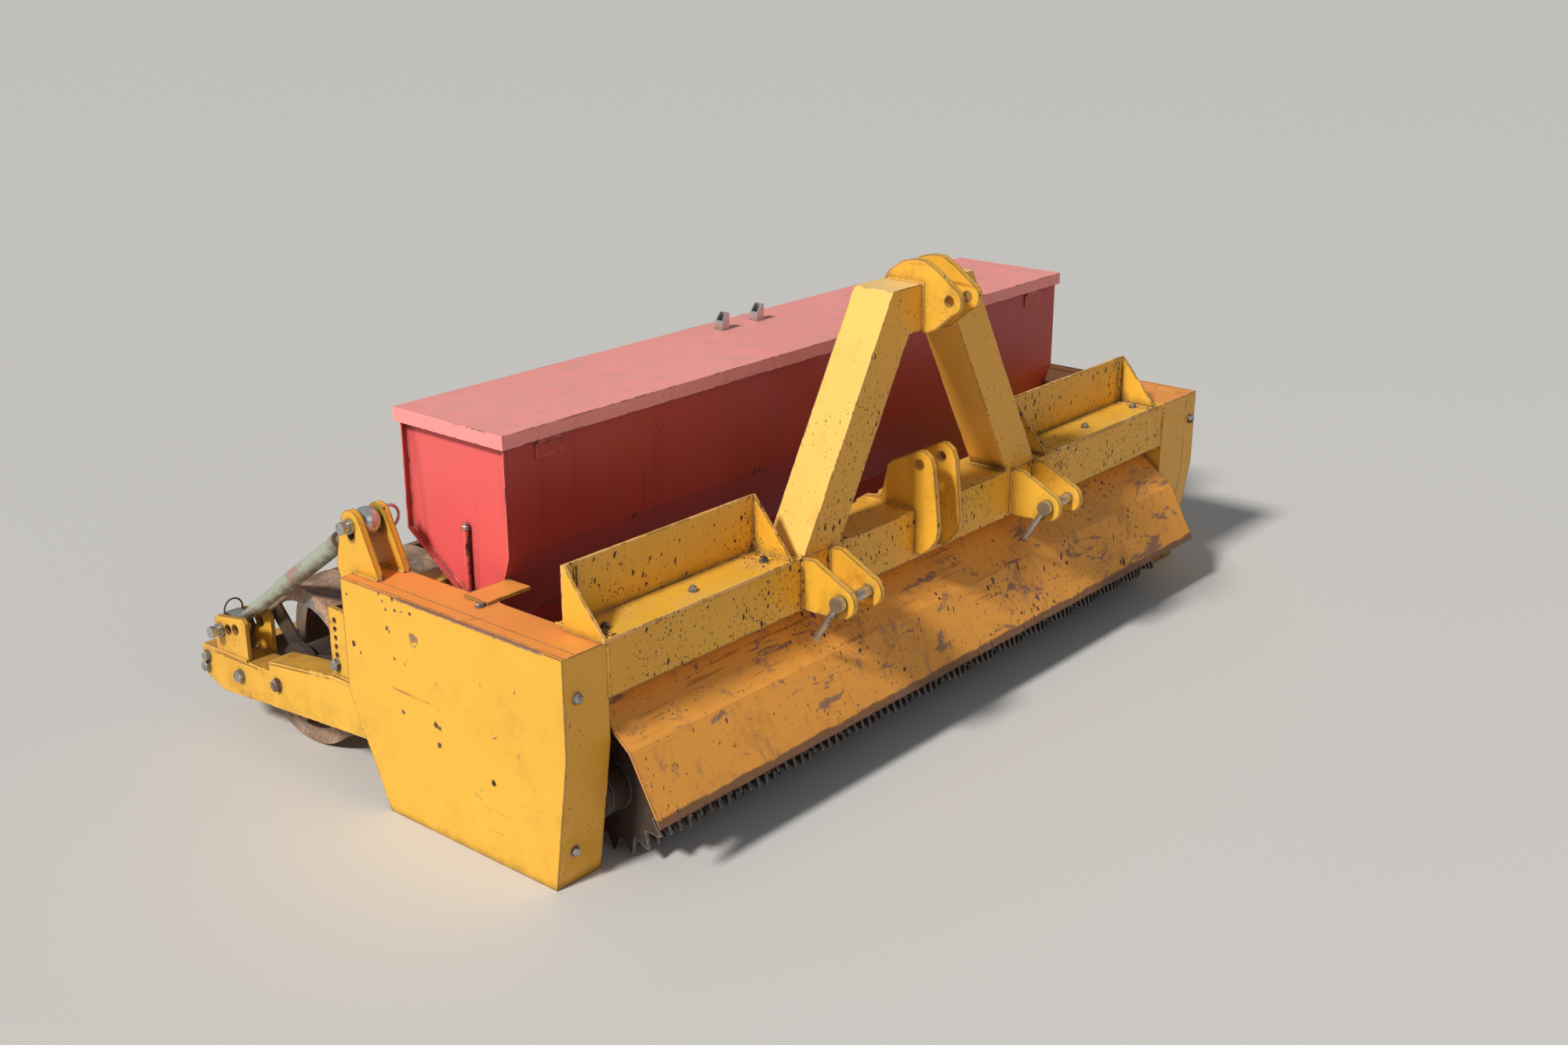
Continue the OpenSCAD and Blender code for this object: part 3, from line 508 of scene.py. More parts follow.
def enamel(name, colour, faded_and_lit, edge=0.45, specks=0.35, size=95.0, grime=0.7, streak=0.18, dust=0.2,
           rough=0.36, bare=0.4, bleed=0.4, scrape=0.2, crevice=0.75, sun=0.5, low_rust=None,
           top_stain_and_light=DUST, top_cover=0.0, rim=0.35, streak_tone=None, spots=None,
           rubbed_edge=None):
    """Old enamel: paler towards the sun, partly bleaching and partly painted light; chipped,
    scraped, darker in corners with dirt and painted shade, dirty low, with a painted highlight on
    its edges.

    top_stain_and_light is what lies on upward faces (dust, soil, stain, and on the mast a paler
    painted light), low_rust the heights between which a rusty band ends, spots the single marks and
    rubbed_edge the (x, z, near y, far y) of a scraped edge.
    """
    paint, wear, _ = settings()
    material, net, shader = new_material(name)
    tone = use(net, "tone")
    edges = use(net, "edges", Width=wear.edge_width, Amount=edge)
    chips = use(net, "specks", Size=size, Amount=specks)
    scrapes = use(net, "scrapes", Amount=scrape)
    corner = use(net, "crevice")["Mask"]
    # Paler towards the sun: partly bleaching, partly painted light
    pale = net.plus(net.times(tone["Sun"], sun), net.times(tone["Fade"], 1.0 - sun), clamp=True)
    coat = net.mix(pale, linear(colour), linear(faded_and_lit))
    coat = net.wash(coat, tone["Streak"], streak, streak_tone or shaded(colour, 0.5))
    coat = net.wash(coat, tone["Bleed"], bleed, BLEED)
    if top_cover:
        cover = net.times(net.ramp(net.up(), 0.6, 0.95), net.ramp(
            net.noise(net.place(), 11.0, 6.0, 0.66), 0.2, 0.6, top_cover * 0.55, top_cover))
        coat = net.mix(cover, coat, top_stain_and_light)
    # Painted highlight: edges paled as if they caught the light
    coat = net.wash(coat, edges["RubAndHighlight"], rim, RIM)
    coat = net.wash(coat, tone["Dust"], dust, top_stain_and_light)
    coat = net.wash(coat, scrapes["Scratch"], 0.7, BLEED)
    if low_rust:
        ragged = net.times(net.noise(net.place(), 24.0, 5.0, 0.6), 0.012)
        height = net.plus(net.height_above_ground(), ragged)
        band = net.ramp(height, low_rust[0], low_rust[1], 1.0, 0.0)
        coat = net.wash(coat, band, 0.9, DIRTY_LIP)
    chip = net.larger(edges["Chip"], chips["Mask"])
    if spots:
        chip = net.larger(chip, marks(net, spots))
    if rubbed_edge:
        coat = net.wash(coat, rubbed_line(net, *rubbed_edge), 0.85, RUBBED_LINE)
    old_rust = net.ramp(net.noise(net.place(), 55.0, 5.0), 0.35, 0.65)
    metal = net.mix(old_rust, linear(paint.rust), DARK_RUST)
    fresh = net.ramp(net.noise(net.place(), 21.0, 3.0), 0.42, 0.6)
    metal = net.wash(metal, fresh, bare, BARE)
    colour_out = net.mix(net.times(scrapes["Patch"], 0.8), coat, BARE)
    colour_out = net.mix(chip, colour_out, metal)
    # Corners darkened: dirt and painted shade
    colour_out = net.wash(colour_out, corner, crevice, SOOT_AND_SHADE)
    colour_out = net.wash(colour_out, tone["Grime"], grime, EARTH)
    net.put(shader.inputs["Base Color"], colour_out)
    dull = net.larger(chip, net.larger(corner, scrapes["Patch"]))
    roughness = net.mixf(dull, net.plus(rough, net.times(tone["Fade"], 0.15)), 0.8)
    net.put(shader.inputs["Roughness"], net.mixf(tone["Grime"], roughness, 0.9))
    relief = use(net, "relief", Ripple=0.5, Pits=0.12)
    bump(net, shader, net.minus(relief["Height"], net.times(chip, 0.5)), 0.0012, 0.5)
    return material


def bare_metal(name, colour, rusty=0.4, rough=0.4, metallic=0.85, soil=0.3, rust=None, dark=None,
               polish_and_highlight=0.0, crevice=0.5, core=None):
    """Uncoated steel with rust blooms and soil; shine is how bright its edges are worn, as polish
    with a painted highlight.

    core is (node name, radius): inside that radius of the node's axis the steel is darkened, partly
    soil and partly painted shade of the hollow.
    """
    paint, _, _ = settings()
    rust = rust or paint.rust
    dark = dark or DARK_RUST[:3]
    material, net, shader = new_material(name)
    tone = use(net, "tone")
    corner = use(net, "crevice")["Mask"]
    bloom = net.ramp(net.noise(net.place(), 26.0, 7.0, 0.68, 0.4),
                     0.62 - rusty * 0.45, 0.74 - rusty * 0.3)
    fine = net.ramp(net.noise(net.place(), 140.0, 4.0, 0.6), 0.4, 0.65)
    steel = net.mix(net.times(fine, 0.5), linear(colour), shaded(colour, 0.55))
    red_brown = net.mix(fine, linear(rust), shaded(rust, 1.5))
    darker = net.ramp(net.noise(net.place(), 9.0, 5.0, 0.6), 0.46, 0.62)
    red_brown = net.mix(darker, red_brown, linear(dark))
    skin = net.mix(bloom, steel, red_brown)
    skin = net.wash(skin, net.plus(tone["Grime"], net.times(tone["Dust"], 0.6)), soil, EARTH)
    # Corners darkened: dirt and painted shade
    skin = net.wash(skin, corner, crevice, SOOT_AND_SHADE)
    if core:
        node, radius = core
        low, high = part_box(node)
        axis = (0, -(low[1] + high[1]) / 2, -(low[2] + high[2]) / 2)
        off_axis = net.mapped((0, 1, 1), shift=axis)
        ragged = net.times(net.noise(net.place(), 30.0, 5.0, 0.6), 0.02)
        reach = net.plus(net.measure("LENGTH", off_axis), ragged)
        inner = net.ramp(reach, radius, radius + 0.025, 1.0, 0.0)
        # Hollow of the roller darkened: soil and painted shade
        skin = net.wash(skin, inner, 0.85, CAKED_SOIL_AND_SHADE)
    dull = bloom
    if polish_and_highlight:
        # Edges brightened: polish with a painted highlight
        rub = net.times(use(net, "edges", Width=0.0035, Amount=0.5)["RubAndHighlight"], polish_and_highlight)
        skin = net.mix(rub, skin, POLISHED_AND_LIT)
        dull = net.minus(bloom, rub, clamp=True)
    net.put(shader.inputs["Base Color"], skin)
    net.put(shader.inputs["Roughness"], net.mixf(dull, rough, 0.85))
    net.put(shader.inputs["Metallic"], net.mixf(dull, metallic, 0.1))
    relief = use(net, "relief", Ripple=0.2, Pits=0.8)
    bump(net, shader, net.plus(relief["Height"], net.times(bloom, 0.4)), 0.0008, 0.6)
    return material


def link_enamel(name):
    """Grey-green enamel of the screw links: primer in mid tube, brown neck, bright eyes."""
    paint, wear, _ = settings()
    material, net, shader = new_material(name)
    tone = use(net, "tone")
    edges = use(net, "edges", Width=wear.edge_width, Amount=0.7)
    chips = use(net, "specks", Size=60.0, Amount=0.55)
    coat = net.mix(tone["Fade"], linear(paint.link), shaded(paint.link, 1.5))
    blot = net.noise(net.place(), 34.0, 6.0, 0.66)
    coat = net.wash(coat, net.ramp(blot, 0.52, 0.66), 0.6, LINK_STAIN)
    # Both links as one: the left one folded over the middle onto the right one
    place_x, place_y, place_z = net.split(net.place())
    folded = net.node("ShaderNodeCombineXYZ")
    net.put(folded.inputs[0], net.times(net.math("ABSOLUTE", net.minus(place_x, MID_X)), -1.0))
    net.put(folded.inputs[1], place_y)
    net.put(folded.inputs[2], place_z)

    def from_point(point):
        return net.measure("DISTANCE", folded.outputs[0], point)

    low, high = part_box("right_link_barrel")
    mid_tube = (low[0] - MID_X, low[1] + (high[1] - low[1]) * 0.62,
                low[2] + (high[2] - low[2]) * 0.42)
    ragged = net.times(net.noise(net.place(), 48.0, 5.0, 0.7), 0.085)
    primer = net.ramp(net.plus(from_point(mid_tube), ragged), 0.062, 0.070, 1.0, 0.0)
    coat = net.wash(coat, primer, 0.7, LINK_PRIMER)
    under = net.times(net.ramp(net.up(), -0.7, 0.1, 1.0, 0.0), net.ramp(blot, 0.4, 0.55))
    coat = net.wash(coat, under, 0.7, LINK_UNDERSIDE)
    from_top, from_low = [from_point(at(x, *eye) - Vector((MID_X, 0, 0)))
                          for x, eye in ((-943, LINK_TOP), (-968, LINK_LOW))]
    neck = net.ramp(net.plus(from_top, net.times(blot, 0.012)), 0.098, 0.112, 1.0, 0.0)
    coat = net.wash(coat, neck, 0.75, LINK_NECK)
    eye = net.ramp(net.math("MINIMUM", from_top, from_low), 0.034, 0.037, 1.0, 0.0)
    chip = net.times(net.larger(edges["Chip"], chips["Mask"]), net.minus(1.0, eye))
    coat = net.mix(eye, coat, SILVER)
    coat = net.mix(chip, coat, linear(paint.rust))
    # Corners darkened: dirt and painted shade
    coat = net.wash(coat, use(net, "crevice")["Mask"], 0.7, SOOT_AND_SHADE)
    net.put(shader.inputs["Base Color"], coat)
    net.put(shader.inputs["Metallic"], net.times(eye, 0.75))
    net.put(shader.inputs["Roughness"], net.mixf(chip, net.mixf(eye, 0.42, 0.25), 0.85))
    relief = use(net, "relief", Ripple=0.5, Pits=0.3)
    bump(net, shader, net.minus(relief["Height"], net.times(chip, 0.5)), 0.0012, 0.5)
    return material


MATERIALS = {}
# Chips and scars at their places on the drawing: x, y, z, radius
PANEL_MARKS = [(-1008, y, z, r) for y, z, r in (
    (536, 306, 6), (518, 294, 2.5), (438, 361, 4.5), (432, 357, 3), (423, 309, 3), (454, 421, 3),
    (445, 411, 3), (438, 397, 3.5), (413, 401, 3.5), (396, 403, 3), (372, 406, 3.5), (410, 212, 5),
    (322, 214, 6), (312, 211, 4), (317, 177, 6), (180, 151, 6), (545, 397, 3), (417, 420, 4))]
HOPPER_MARKS = [(x, 305, z, r) for x, z, r in (
    (-536, 469, 5), (-528, 470, 4), (-481, 478, 3), (-482, 462, 4), (-196, 471, 6), (-180, 471, 6))]


def finish(key):
    return MATERIALS[key]


def build_materials():
    paint, _, _ = settings()
    MATERIALS.update(
        yellow=enamel("aged_yellow_enamel", paint.yellow, paint.yellow_faded_and_lit, specks=0.66,
                      size=120.0, edge=0.55),
        tray=enamel("tray_yellow_enamel", paint.yellow, paint.yellow_faded_and_lit, specks=0.62, size=110.0,
                    edge=0.45, rim=0.8, bleed=0.5),
        # Mast: much paler on faces turned to the sun and paler on its tops, as painted light with
        # some bleaching
        mast=enamel("mast_yellow_enamel", paint.yellow, (0.95, 0.60, 0.13), specks=0.56, size=120.0,
                    sun=0.85, bleed=0.15, rim=0.5, top_stain_and_light=MAST_TOP, top_cover=0.8),
        panel=enamel("panel_yellow_enamel", paint.yellow, paint.yellow_faded_and_lit, edge=0.62,
                     specks=0.45, size=110.0, scrape=0.5, bleed=0.25, grime=0.12, streak=0.0,
                     dust=0.3, bare=0.9, top_stain_and_light=ORANGE, top_cover=0.95, spots=PANEL_MARKS,
                     rubbed_edge=(-1008, 425, 40, 415)),
        arm_yellow=enamel("arm_yellow_enamel", paint.yellow, paint.yellow_faded_and_lit, edge=0.5,
                          specks=0.45, grime=0.5, streak=0.1, bleed=0.6, dust=0.6,
                          top_stain_and_light=ARM_SOIL, top_cover=0.35),
        cheek=enamel("rubbed_cheek_enamel", paint.yellow, paint.yellow_faded_and_lit, edge=1.05, specks=0.6,
                     size=120.0, bleed=0.9, scrape=0.5, bare=1.0, rim=0.6),
        shield=enamel("scoured_shield_enamel", paint.scoured, [c * 1.1 for c in paint.scoured],
                      edge=0.9, specks=0.57, size=85.0, grime=0.3, streak=0.55, dust=0.1, bare=1.0,
                      bleed=0.8, scrape=0.82, low_rust=(0.137, 0.141), streak_tone=BARE),
        # Hopper red: sun-facing faces much paler, as bleaching and painted light
        red=enamel("faded_red_enamel", paint.red, paint.red_faded_and_lit, edge=0.35, specks=0.3, sun=0.9,
                   bleed=0.0, scrape=0.25, streak=0.3, rim=0.25, spots=HOPPER_MARKS),
        rod_red=enamel("rubbed_rod_enamel", paint.red, paint.red_faded_and_lit, edge=0.8, specks=0.9,
                       sun=0.9, size=45.0, bleed=0.0, scrape=0.9, bare=0.6),
        lid=enamel("bleached_red_enamel", paint.lid, [min(1, c * 1.12) for c in paint.lid],
                   edge=0.4, specks=0.25, dust=0.3, rough=0.5, bleed=0.0, scrape=0.35, rim=0.2),
        link=link_enamel("worn_link_paint"),
        steel=bare_metal("dull_plated_steel", [c * 1.15 for c in paint.steel], rusty=0.12,
                         rough=0.3),
        bright=bare_metal("bright_plated_steel", (0.70, 0.71, 0.69), rusty=0.05, rough=0.28,
                          metallic=0.75),
        bolt=bare_metal("weathered_bolt_steel", paint.steel, rusty=0.36, rough=0.4),
        rusty=bare_metal("soiled_roller_steel", (0.24, 0.265, 0.275), rusty=0.75, rough=0.55,
                         metallic=0.4, soil=0.5, rust=(0.42, 0.265, 0.175),
                         dark=(0.21, 0.135, 0.090), core=("rear_roller", 0.112)),
        # Near-black tines: dark soiled steel and painted shade, with bright edges of polish and
        # painted highlight
        tine=bare_metal("soil_polished_tines_in_painted_shade", (0.10, 0.09, 0.08), rusty=0.75, rough=0.4,
                        metallic=0.6, soil=0.5, rust=(0.050, 0.030, 0.022), polish_and_highlight=0.9),
        dark=bare_metal("old_dark_steel", (0.10, 0.095, 0.09), rusty=0.5, rough=0.6, metallic=0.5),
    )


NODE_FINISH = {
    "mast": ("mast_legs",),
    "yellow": ("front_beam", "rear_cross_tube", "link_ears", "shield_stays"),
    "tray": ("weight_trays",),
    "panel": ("right_side_panel", "left_side_panel", "chain_cover", "hopper_feet"),
    "cheek": ("mast_cheeks", "lower_ears", "centre_plates"),
    "arm_yellow": ("right_arm", "left_arm", "arm_tabs", "arm_link_ears", "tie_bar"),
    "shield": ("front_shield",),
    "red": ("hopper_body", "strap_brackets", "metering_housing", "lid_hinge_leaves",
            "lid_hinge_flaps"),
    "rod_red": ("hopper_straps",),
    "lid": ("hopper_lid",),
    "link": ("right_link_barrel", "left_link_barrel", "right_link_rod", "left_link_rod"),
    "steel": ("lower_link_pins", "linch_rings", "link_ear_pins", "arm_pivots", "arm_link_pins",
              "metering_roller"),
    "bright": ("lid_catches",),
    "dark": ("mast_packer", "rotor_bearings", "roller_bearings"),
    "rusty": ("rear_roller",),
    "tine": ("star_rotor",),
}
# Nodes whose sheet edges get a small round, as multiples of the setting
ROUNDED = {
    "right_side_panel": 2.2, "left_side_panel": 2.2, "chain_cover": 2.2, "front_beam": 2.4,
    "mast_legs": 3.4, "mast_cheeks": 0.6, "lower_ears": 0.6, "weight_trays": 0.5,
    "centre_plates": 0.6, "hopper_lid": 0.5, "link_ears": 0.6, "front_shield": 0.4,
    "right_arm": 1.0, "left_arm": 1.0, "arm_link_ears": 0.5, "arm_tabs": 0.5, "tie_bar": 1.0,
    "rear_cross_tube": 1.4, "hopper_feet": 0.5,
}


class DRILL_OT_finishes(bpy.types.Operator):
    """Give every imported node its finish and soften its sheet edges"""

    bl_idname = "drill.finishes"
    bl_label = "Finishes"

    def execute(self, context):
        _, wear, _ = settings()
        build_materials()
        for key, names in NODE_FINISH.items():
            for name in names:
                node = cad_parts[name]
                node.data.materials.clear()
                node.data.materials.append(finish(key))
                if name in ROUNDED:
                    soften = node.modifiers.new("edge_round", "BEVEL")
                    soften.width = wear.bevel * ROUNDED[name]
                    soften.segments = 3 if ROUNDED[name] > 2 else 2
                    soften.limit_method = "ANGLE"
                    soften.angle_limit = math.radians(32)
        missing = set(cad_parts) - {n for names in NODE_FINISH.values() for n in names}
        if missing:
            raise RuntimeError(f"no finish for {sorted(missing)}")
        return {"FINISHED"}


# ---------------------------------------------------------------- mesh helpers


def add_piece(name, bm, material, body):
    """A finished mesh as an object that rides on a body."""
    bmesh.ops.recalc_face_normals(bm, faces=bm.faces)
    mesh = bpy.data.meshes.new(name)
    bm.to_mesh(mesh)
    bm.free()
    obj = bpy.data.objects.new(name, mesh)
    bpy.context.collection.objects.link(obj)
    mesh.materials.append(material)
    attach(obj, body)
    return obj


def smooth_faces(obj, degrees=35):
    for face in obj.data.polygons:
        face.use_smooth = True
    obj.data.set_sharp_from_angle(angle=math.radians(degrees))


def close_skin(bm, rings):
    """Faces between rings of as many points each, and a cap on the first and the last ring."""
    sides = len(rings[0])
    for low, high in zip(rings, rings[1:]):
        for i in range(sides):
            bm.faces.new((low[i], low[(i + 1) % sides], high[(i + 1) % sides], high[i]))
    bm.faces.new(rings[0])
    bm.faces.new(rings[-1])


def turned(bm, place, axis, profile, sides=20):
    """A turned form: profile is a list of (radius, height along the axis)."""
    spin = axis.to_track_quat("Z", "Y").to_matrix().to_4x4()
    put = Matrix.Translation(place) @ spin
    rings = []
    for radius, height in profile:
        around = [Vector((radius * math.cos(a), radius * math.sin(a), height))
                  for a in (i * math.tau / sides for i in range(sides))]
        rings.append([bm.verts.new(put @ point) for point in around])
    close_skin(bm, rings)


def add_bolt(bm, place, axis, size, rng, washer=True, nut=False):
    """A hexagon head, or a nut on a thread end, on a washer. size is the thread in metres."""
    lift = 0.0
    if washer:
        turned(bm, place, axis, [(size * 0.99, 0.0), (size * 1.02, size * 0.03),
                                 (size * 1.0, size * 0.14), (size * 0.6, size * 0.16)], 24)
        lift = size * 0.14
    spin = axis.to_track_quat("Z", "Y").to_matrix().to_4x4()
    spin = spin @ Matrix.Rotation(rng.uniform(0, 1.05), 4, "Z")
    put = Matrix.Translation(place + axis * lift) @ spin
    flat = size * 0.78
    corner = flat / math.cos(math.pi / 6)
    tall = size * (0.8 if nut else 0.64)
    rows = []
    for share, height in ((1.0, 0.0), (1.0, tall * 0.84), (0.9, tall)):
        reach = corner * share
        rows.append([bm.verts.new(put @ Vector((reach * math.cos(i * math.pi / 3),
                                                reach * math.sin(i * math.pi / 3), height)))
                     for i in range(6)])
    close_skin(bm, rows)
    if nut:
        turned(bm, place + axis * (lift + tall * 0.9), axis,
               [(size * 0.48, 0.0), (size * 0.48, size * 0.32), (size * 0.4, size * 0.4)], 16)


def bolts(name, places, size, body, washer=True, nut=False):
    """Several bolts on one body as one piece. places is a list of (point, outward axis)."""
    _, wear, _ = settings()
    rng = random.Random(f"{wear.seed}{name}")
    bm = bmesh.new()
    for place, axis in places:
        add_bolt(bm, place, Vector(axis).normalized(), size, rng, washer, nut)
    return add_piece(name, bm, finish("bolt"), body)


def tube_along(bm, points, radius, sides=10, wobble=None):
    """A round bar along a path. wobble(i) scales the radius at point i."""
    rings = []
    side = None
    for i, point in enumerate(points):
        ahead = points[min(i + 1, len(points) - 1)] - points[max(i - 1, 0)]
        ahead.normalize()
        if side is None:
            side = ahead.orthogonal().normalized()
        side = (side - ahead * side.dot(ahead)).normalized()
        other = ahead.cross(side)
        r = radius * (wobble(i) if wobble else 1.0)
        rings.append([bm.verts.new(point + (side * math.cos(a) + other * math.sin(a)) * r)
                      for a in (k * math.tau / sides for k in range(sides))])
    close_skin(bm, rings)


WELD_STEP = 0.0035


def welds(name, runs, body, material="yellow", radius=0.0032):
    """Weld beads with their scales, along straight runs of two or more places of the drawing."""
    _, wear, _ = settings()
    rng = random.Random(f"{wear.seed}{name}")
    bm = bmesh.new()
    for run in runs:
        corners = [at(*p) for p in run]
        points = []
        for a, b in zip(corners, corners[1:]):
            count = max(2, int((b - a).length / WELD_STEP))
            points += [a.lerp(b, k / count) for k in range(count)]
        points.append(corners[-1])
        beat = [1.0 + 0.16 * math.sin(k * 1.9) + rng.uniform(-0.12, 0.12)
                for k in range(len(points))]
        tube_along(bm, points, radius, 8, lambda i, beat=beat: beat[i])
    obj = add_piece(name, bm, finish(material), body)
    smooth_faces(obj, 60)
    return obj


# ---------------------------------------------------------------- pieces


class DRILL_OT_frame_bolts(bpy.types.Operator):
    """Bolts of the panels, the trays, the shield and the hopper's feet and rods"""

    bl_idname = "drill.frame_bolts"
    bl_label = "Frame bolts"

    def execute(self, context):
        forward, back, up, down = (0, -1, 0), (0, 1, 0), (0, 0, 1), (0, 0, -1)
        slant = (0, -1, -0.14)
        panel_lo, panel_hi = drawn_box("right_side_panel")
        bolts("right_panel_bolts", [
            (at(panel_lo[0] + 28, 0, 351), forward),
            (at(panel_lo[0] + 34, 26, 65), slant)], 0.010, "frame")
        cover_lo, cover_hi = drawn_box("chain_cover")
        cover_mid = (cover_lo[0] + cover_hi[0]) / 2
        bolts("chain_cover_bolts", [
            (at(cover_mid, 0, 361), forward),
            (at(cover_mid, 26, 65), slant),
            (at(cover_mid, cover_hi[1], 371), back),
            (at(cover_mid, cover_hi[1], 240), back)], 0.011, "frame")
        tray_x = [MAST_MID + s * d for s in (-1, 1) for d in (455, 640, 850)]
        bolts("tray_bolts", [(at(x, 33, FRAME_TOP + 6), up) for x in tray_x], 0.0085, "frame",
              nut=True)
        bolts("hopper_foot_bolts", [
            (at(s * 941, 269, panel_hi[2]), up) for s in (-1, 1)], 0.0085, "frame")
        rods_lo, rods_hi = drawn_box("hopper_straps")
        rods_y = (rods_lo[1] + rods_hi[1]) / 2
        bolts("strap_nuts", [(at(x, rods_y, rods_hi[2]), up)
                             for x in (rods_lo[0] + 6, rods_hi[0] - 6)], 0.0078, "frame", nut=True)
        stays_z = drawn_box("shield_stays")[0][2] - 5
        bolts("stay_bolts", [(at(k * HALF_W, 86, stays_z), down)
                             for k in (-0.8, -0.27, 0.27, 0.8)], 0.010, "frame")
        return {"FINISHED"}


class DRILL_OT_arm_bolts(bpy.types.Operator):
    """Bolts that hold the roller's bearings, the tie bar and the tabs to the arms"""

    bl_idname = "drill.arm_bolts"
    bl_label = "Arm bolts"

    def execute(self, context):
        tabs = drawn_box("arm_tabs")
        for name, side in (("right", -1), ("left", 1)):
            outer = 1 if side > 0 else 0
            face = drawn_box(name + "_arm")[outer][0]
            for label, x, size, places in (
                    ("_bearing_bolts", face, 0.0135, ((796, 147), (917, 131))),
                    ("_tie_bolts", face, 0.012, ((1026, 143), (1030, 121))),
                    ("_tab_bolt", tabs[outer][0], 0.012, ((614, 238),))):
                heads = [(at(x, *place), (side, 0, 0)) for place in places]
                bolts(name + label, heads, size, "arms")
        return {"FINISHED"}


class DRILL_OT_pin_rings(bpy.types.Operator):
    """Linch pins with their wire rings at both ends of the screw links"""

    bl_idname = "drill.pin_rings"
    bl_label = "Pin rings"

    def execute(self, context):
        top_y = LINK_TOP[0]
        self.rings("upper_pin_rings", (893, top_y, 507), 0.021, 0.0030,
                   [(901, top_y, 486), (901, top_y, 534)], "bright", "frame", "bare_steel")
        self.rings("lower_pin_rings", (968, LINK_LOW[0], 247), 0.020, 0.0018,
                   None, "dark", "arms", "rusty_steel")
        return {"FINISHED"}

    def rings(self, name, centre, radius, wire, pin, material, body, slot):
        """A wire ring on each side of the machine, and its pin where that shows."""
        bm = bmesh.new()
        for (middle,), pin_run in zip(mirrored([[centre]]), mirrored([pin or []])):
            points = [at(*middle) + Vector((math.cos(a), 0, math.sin(a))) * radius
                      for a in (k * math.tau / 28 for k in range(29))]
            tube_along(bm, points, wire, 8)
            if pin:
                tube_along(bm, [at(*p) for p in pin_run], 0.003, 10)
        smooth_faces(add_piece(name, bm, finish(material), body))


class DRILL_OT_frame_welds(bpy.types.Operator):
    """Weld beads of the beam, the mast, the trays and the ears"""

    bl_idname = "drill.frame_welds"
    bl_label = "Frame welds"

    def execute(self, context):
        top = FRAME_TOP
        welds("ear_welds", [[(MAST_MID + c + x, -1, 329), (MAST_MID + c + x, -1, 421)]
                            for c in (-341.5, 341.5) for x in (-45.5, -33.5, 33.5, 45.5)], "frame")
        leg = [(279.5, 2, top), (279.5, 90, top), (381.5, 90, top), (381.5, 2, top)]
        cheek_front = [(35, 0, 782), (35, 0, 868), (35, 82, 868)]
        cheek_rear = [(35, 90, 868), (35, 87, 802)]
        welds("mast_welds", mirrored([leg, cheek_front, cheek_rear], MAST_MID), "frame",
              radius=0.0036)
        gussets = [[(x, 0, top + 6.5), (x, 83.5, top + 6.5), (x, 83.5, top + 104)]
                   for x in (417, 423, 860, 866)]
        welds("tray_welds", mirrored(gussets, MAST_MID), "frame", radius=0.0024)
        plates = [[(x, 3, top), (x, 120, top), (x, 120, 346)] for x in (30.5, 42.5)]
        welds("centre_welds", mirrored(plates, MAST_MID), "frame")
        ears = [[(x, 491, top), (x, 559, top)] for x in (908, 920, 966, 978)]
        welds("link_ear_welds", mirrored(ears), "frame", radius=0.0034)
        beam_front = [(HALF_W, 0, 327), (HALF_W, 0, top), (HALF_W, 120, top)]
        beam_rear = [(HALF_W, 120, top), (HALF_W, 120, 325), (HALF_W, 3, 325)]
        cross_tube = [(HALF_W, y, z) for y, z in (
            (482, 331), (482, 390), (542, 390), (542, 330), (484, 330))]
        welds("panel_welds", mirrored([beam_front, beam_rear, cross_tube]), "frame", radius=0.0030)
        return {"FINISHED"}


class DRILL_OT_seams(bpy.types.Operator):
    """Seams of the folded panels and of the hopper"""

    bl_idname = "drill.seams"
    bl_label = "Seams"

    def execute(self, context):
        outer = drawn_box("right_side_panel")[0][0]
        cover_out = drawn_box("chain_cover")[1][0]
        welds("panel_seams", [[(x, 4, FRAME_TOP), (x, 556, FRAME_TOP)] for x in (
            outer + 7, outer + 30, cover_out - 7, cover_out - 39)], "frame", "panel", 0.0009)
        body_lo, body_hi = drawn_box("hopper_body")
        front, rear = body_lo[1] + 3.2, body_hi[1] - 3.2
        runs = []
        for x in (body_lo[0] + 12, body_hi[0] - 12):
            runs.append([(x, 352, 344), (x, front, 474), (x, front, 660)])
            runs.append([(x, 392, 344), (x, rear, 469), (x, rear, 660)])
        welds("hopper_seams", runs, "frame", "red", 0.0016)
        return {"FINISHED"}


class DRILL_OT_arm_welds(bpy.types.Operator):
    """Weld beads of the arms' plates, tabs and top sheets"""

    bl_idname = "drill.arm_welds"
    bl_label = "Arm welds"

    def execute(self, context):
        arm_lo, arm_hi = drawn_box("left_arm")
        inner, outer = arm_lo[0], arm_hi[0]
        plates = [[(x, y, 168.5), (x, 986, 167)]
                  for x, y in ((outer, 888), (outer - 8, 888), (inner, 887))]
        tabs = [[(outer - d, 563, 215.5), (outer - d, 627, 215.2)] for d in (8, 16)]
        welds("arm_plate_welds", mirrored(plates + tabs), "arms", "arm_yellow", 0.0034)
        edges = [[(outer, 565, 208), (outer, 622, 209), (outer, 816, 184)],
                 [(outer, 860, 161), (outer, 1030, 158)]]
        step = [[(x, 820, 172), (x, 820, 188)] for x in (outer - 1, inner + 1)]
        welds("arm_seams", mirrored(edges + step), "arms", "arm_yellow", 0.0013)
        bar_end = drawn_box("tie_bar")[1][0]
        around = [(bar_end, y, z) for y, z in (
            (990, 104), (990, 144), (1034, 144), (1034, 104), (992, 104))]
        welds("tie_bar_welds", mirrored([around]), "arms", "arm_yellow")
        return {"FINISHED"}


# ---------------------------------------------------------------- stage


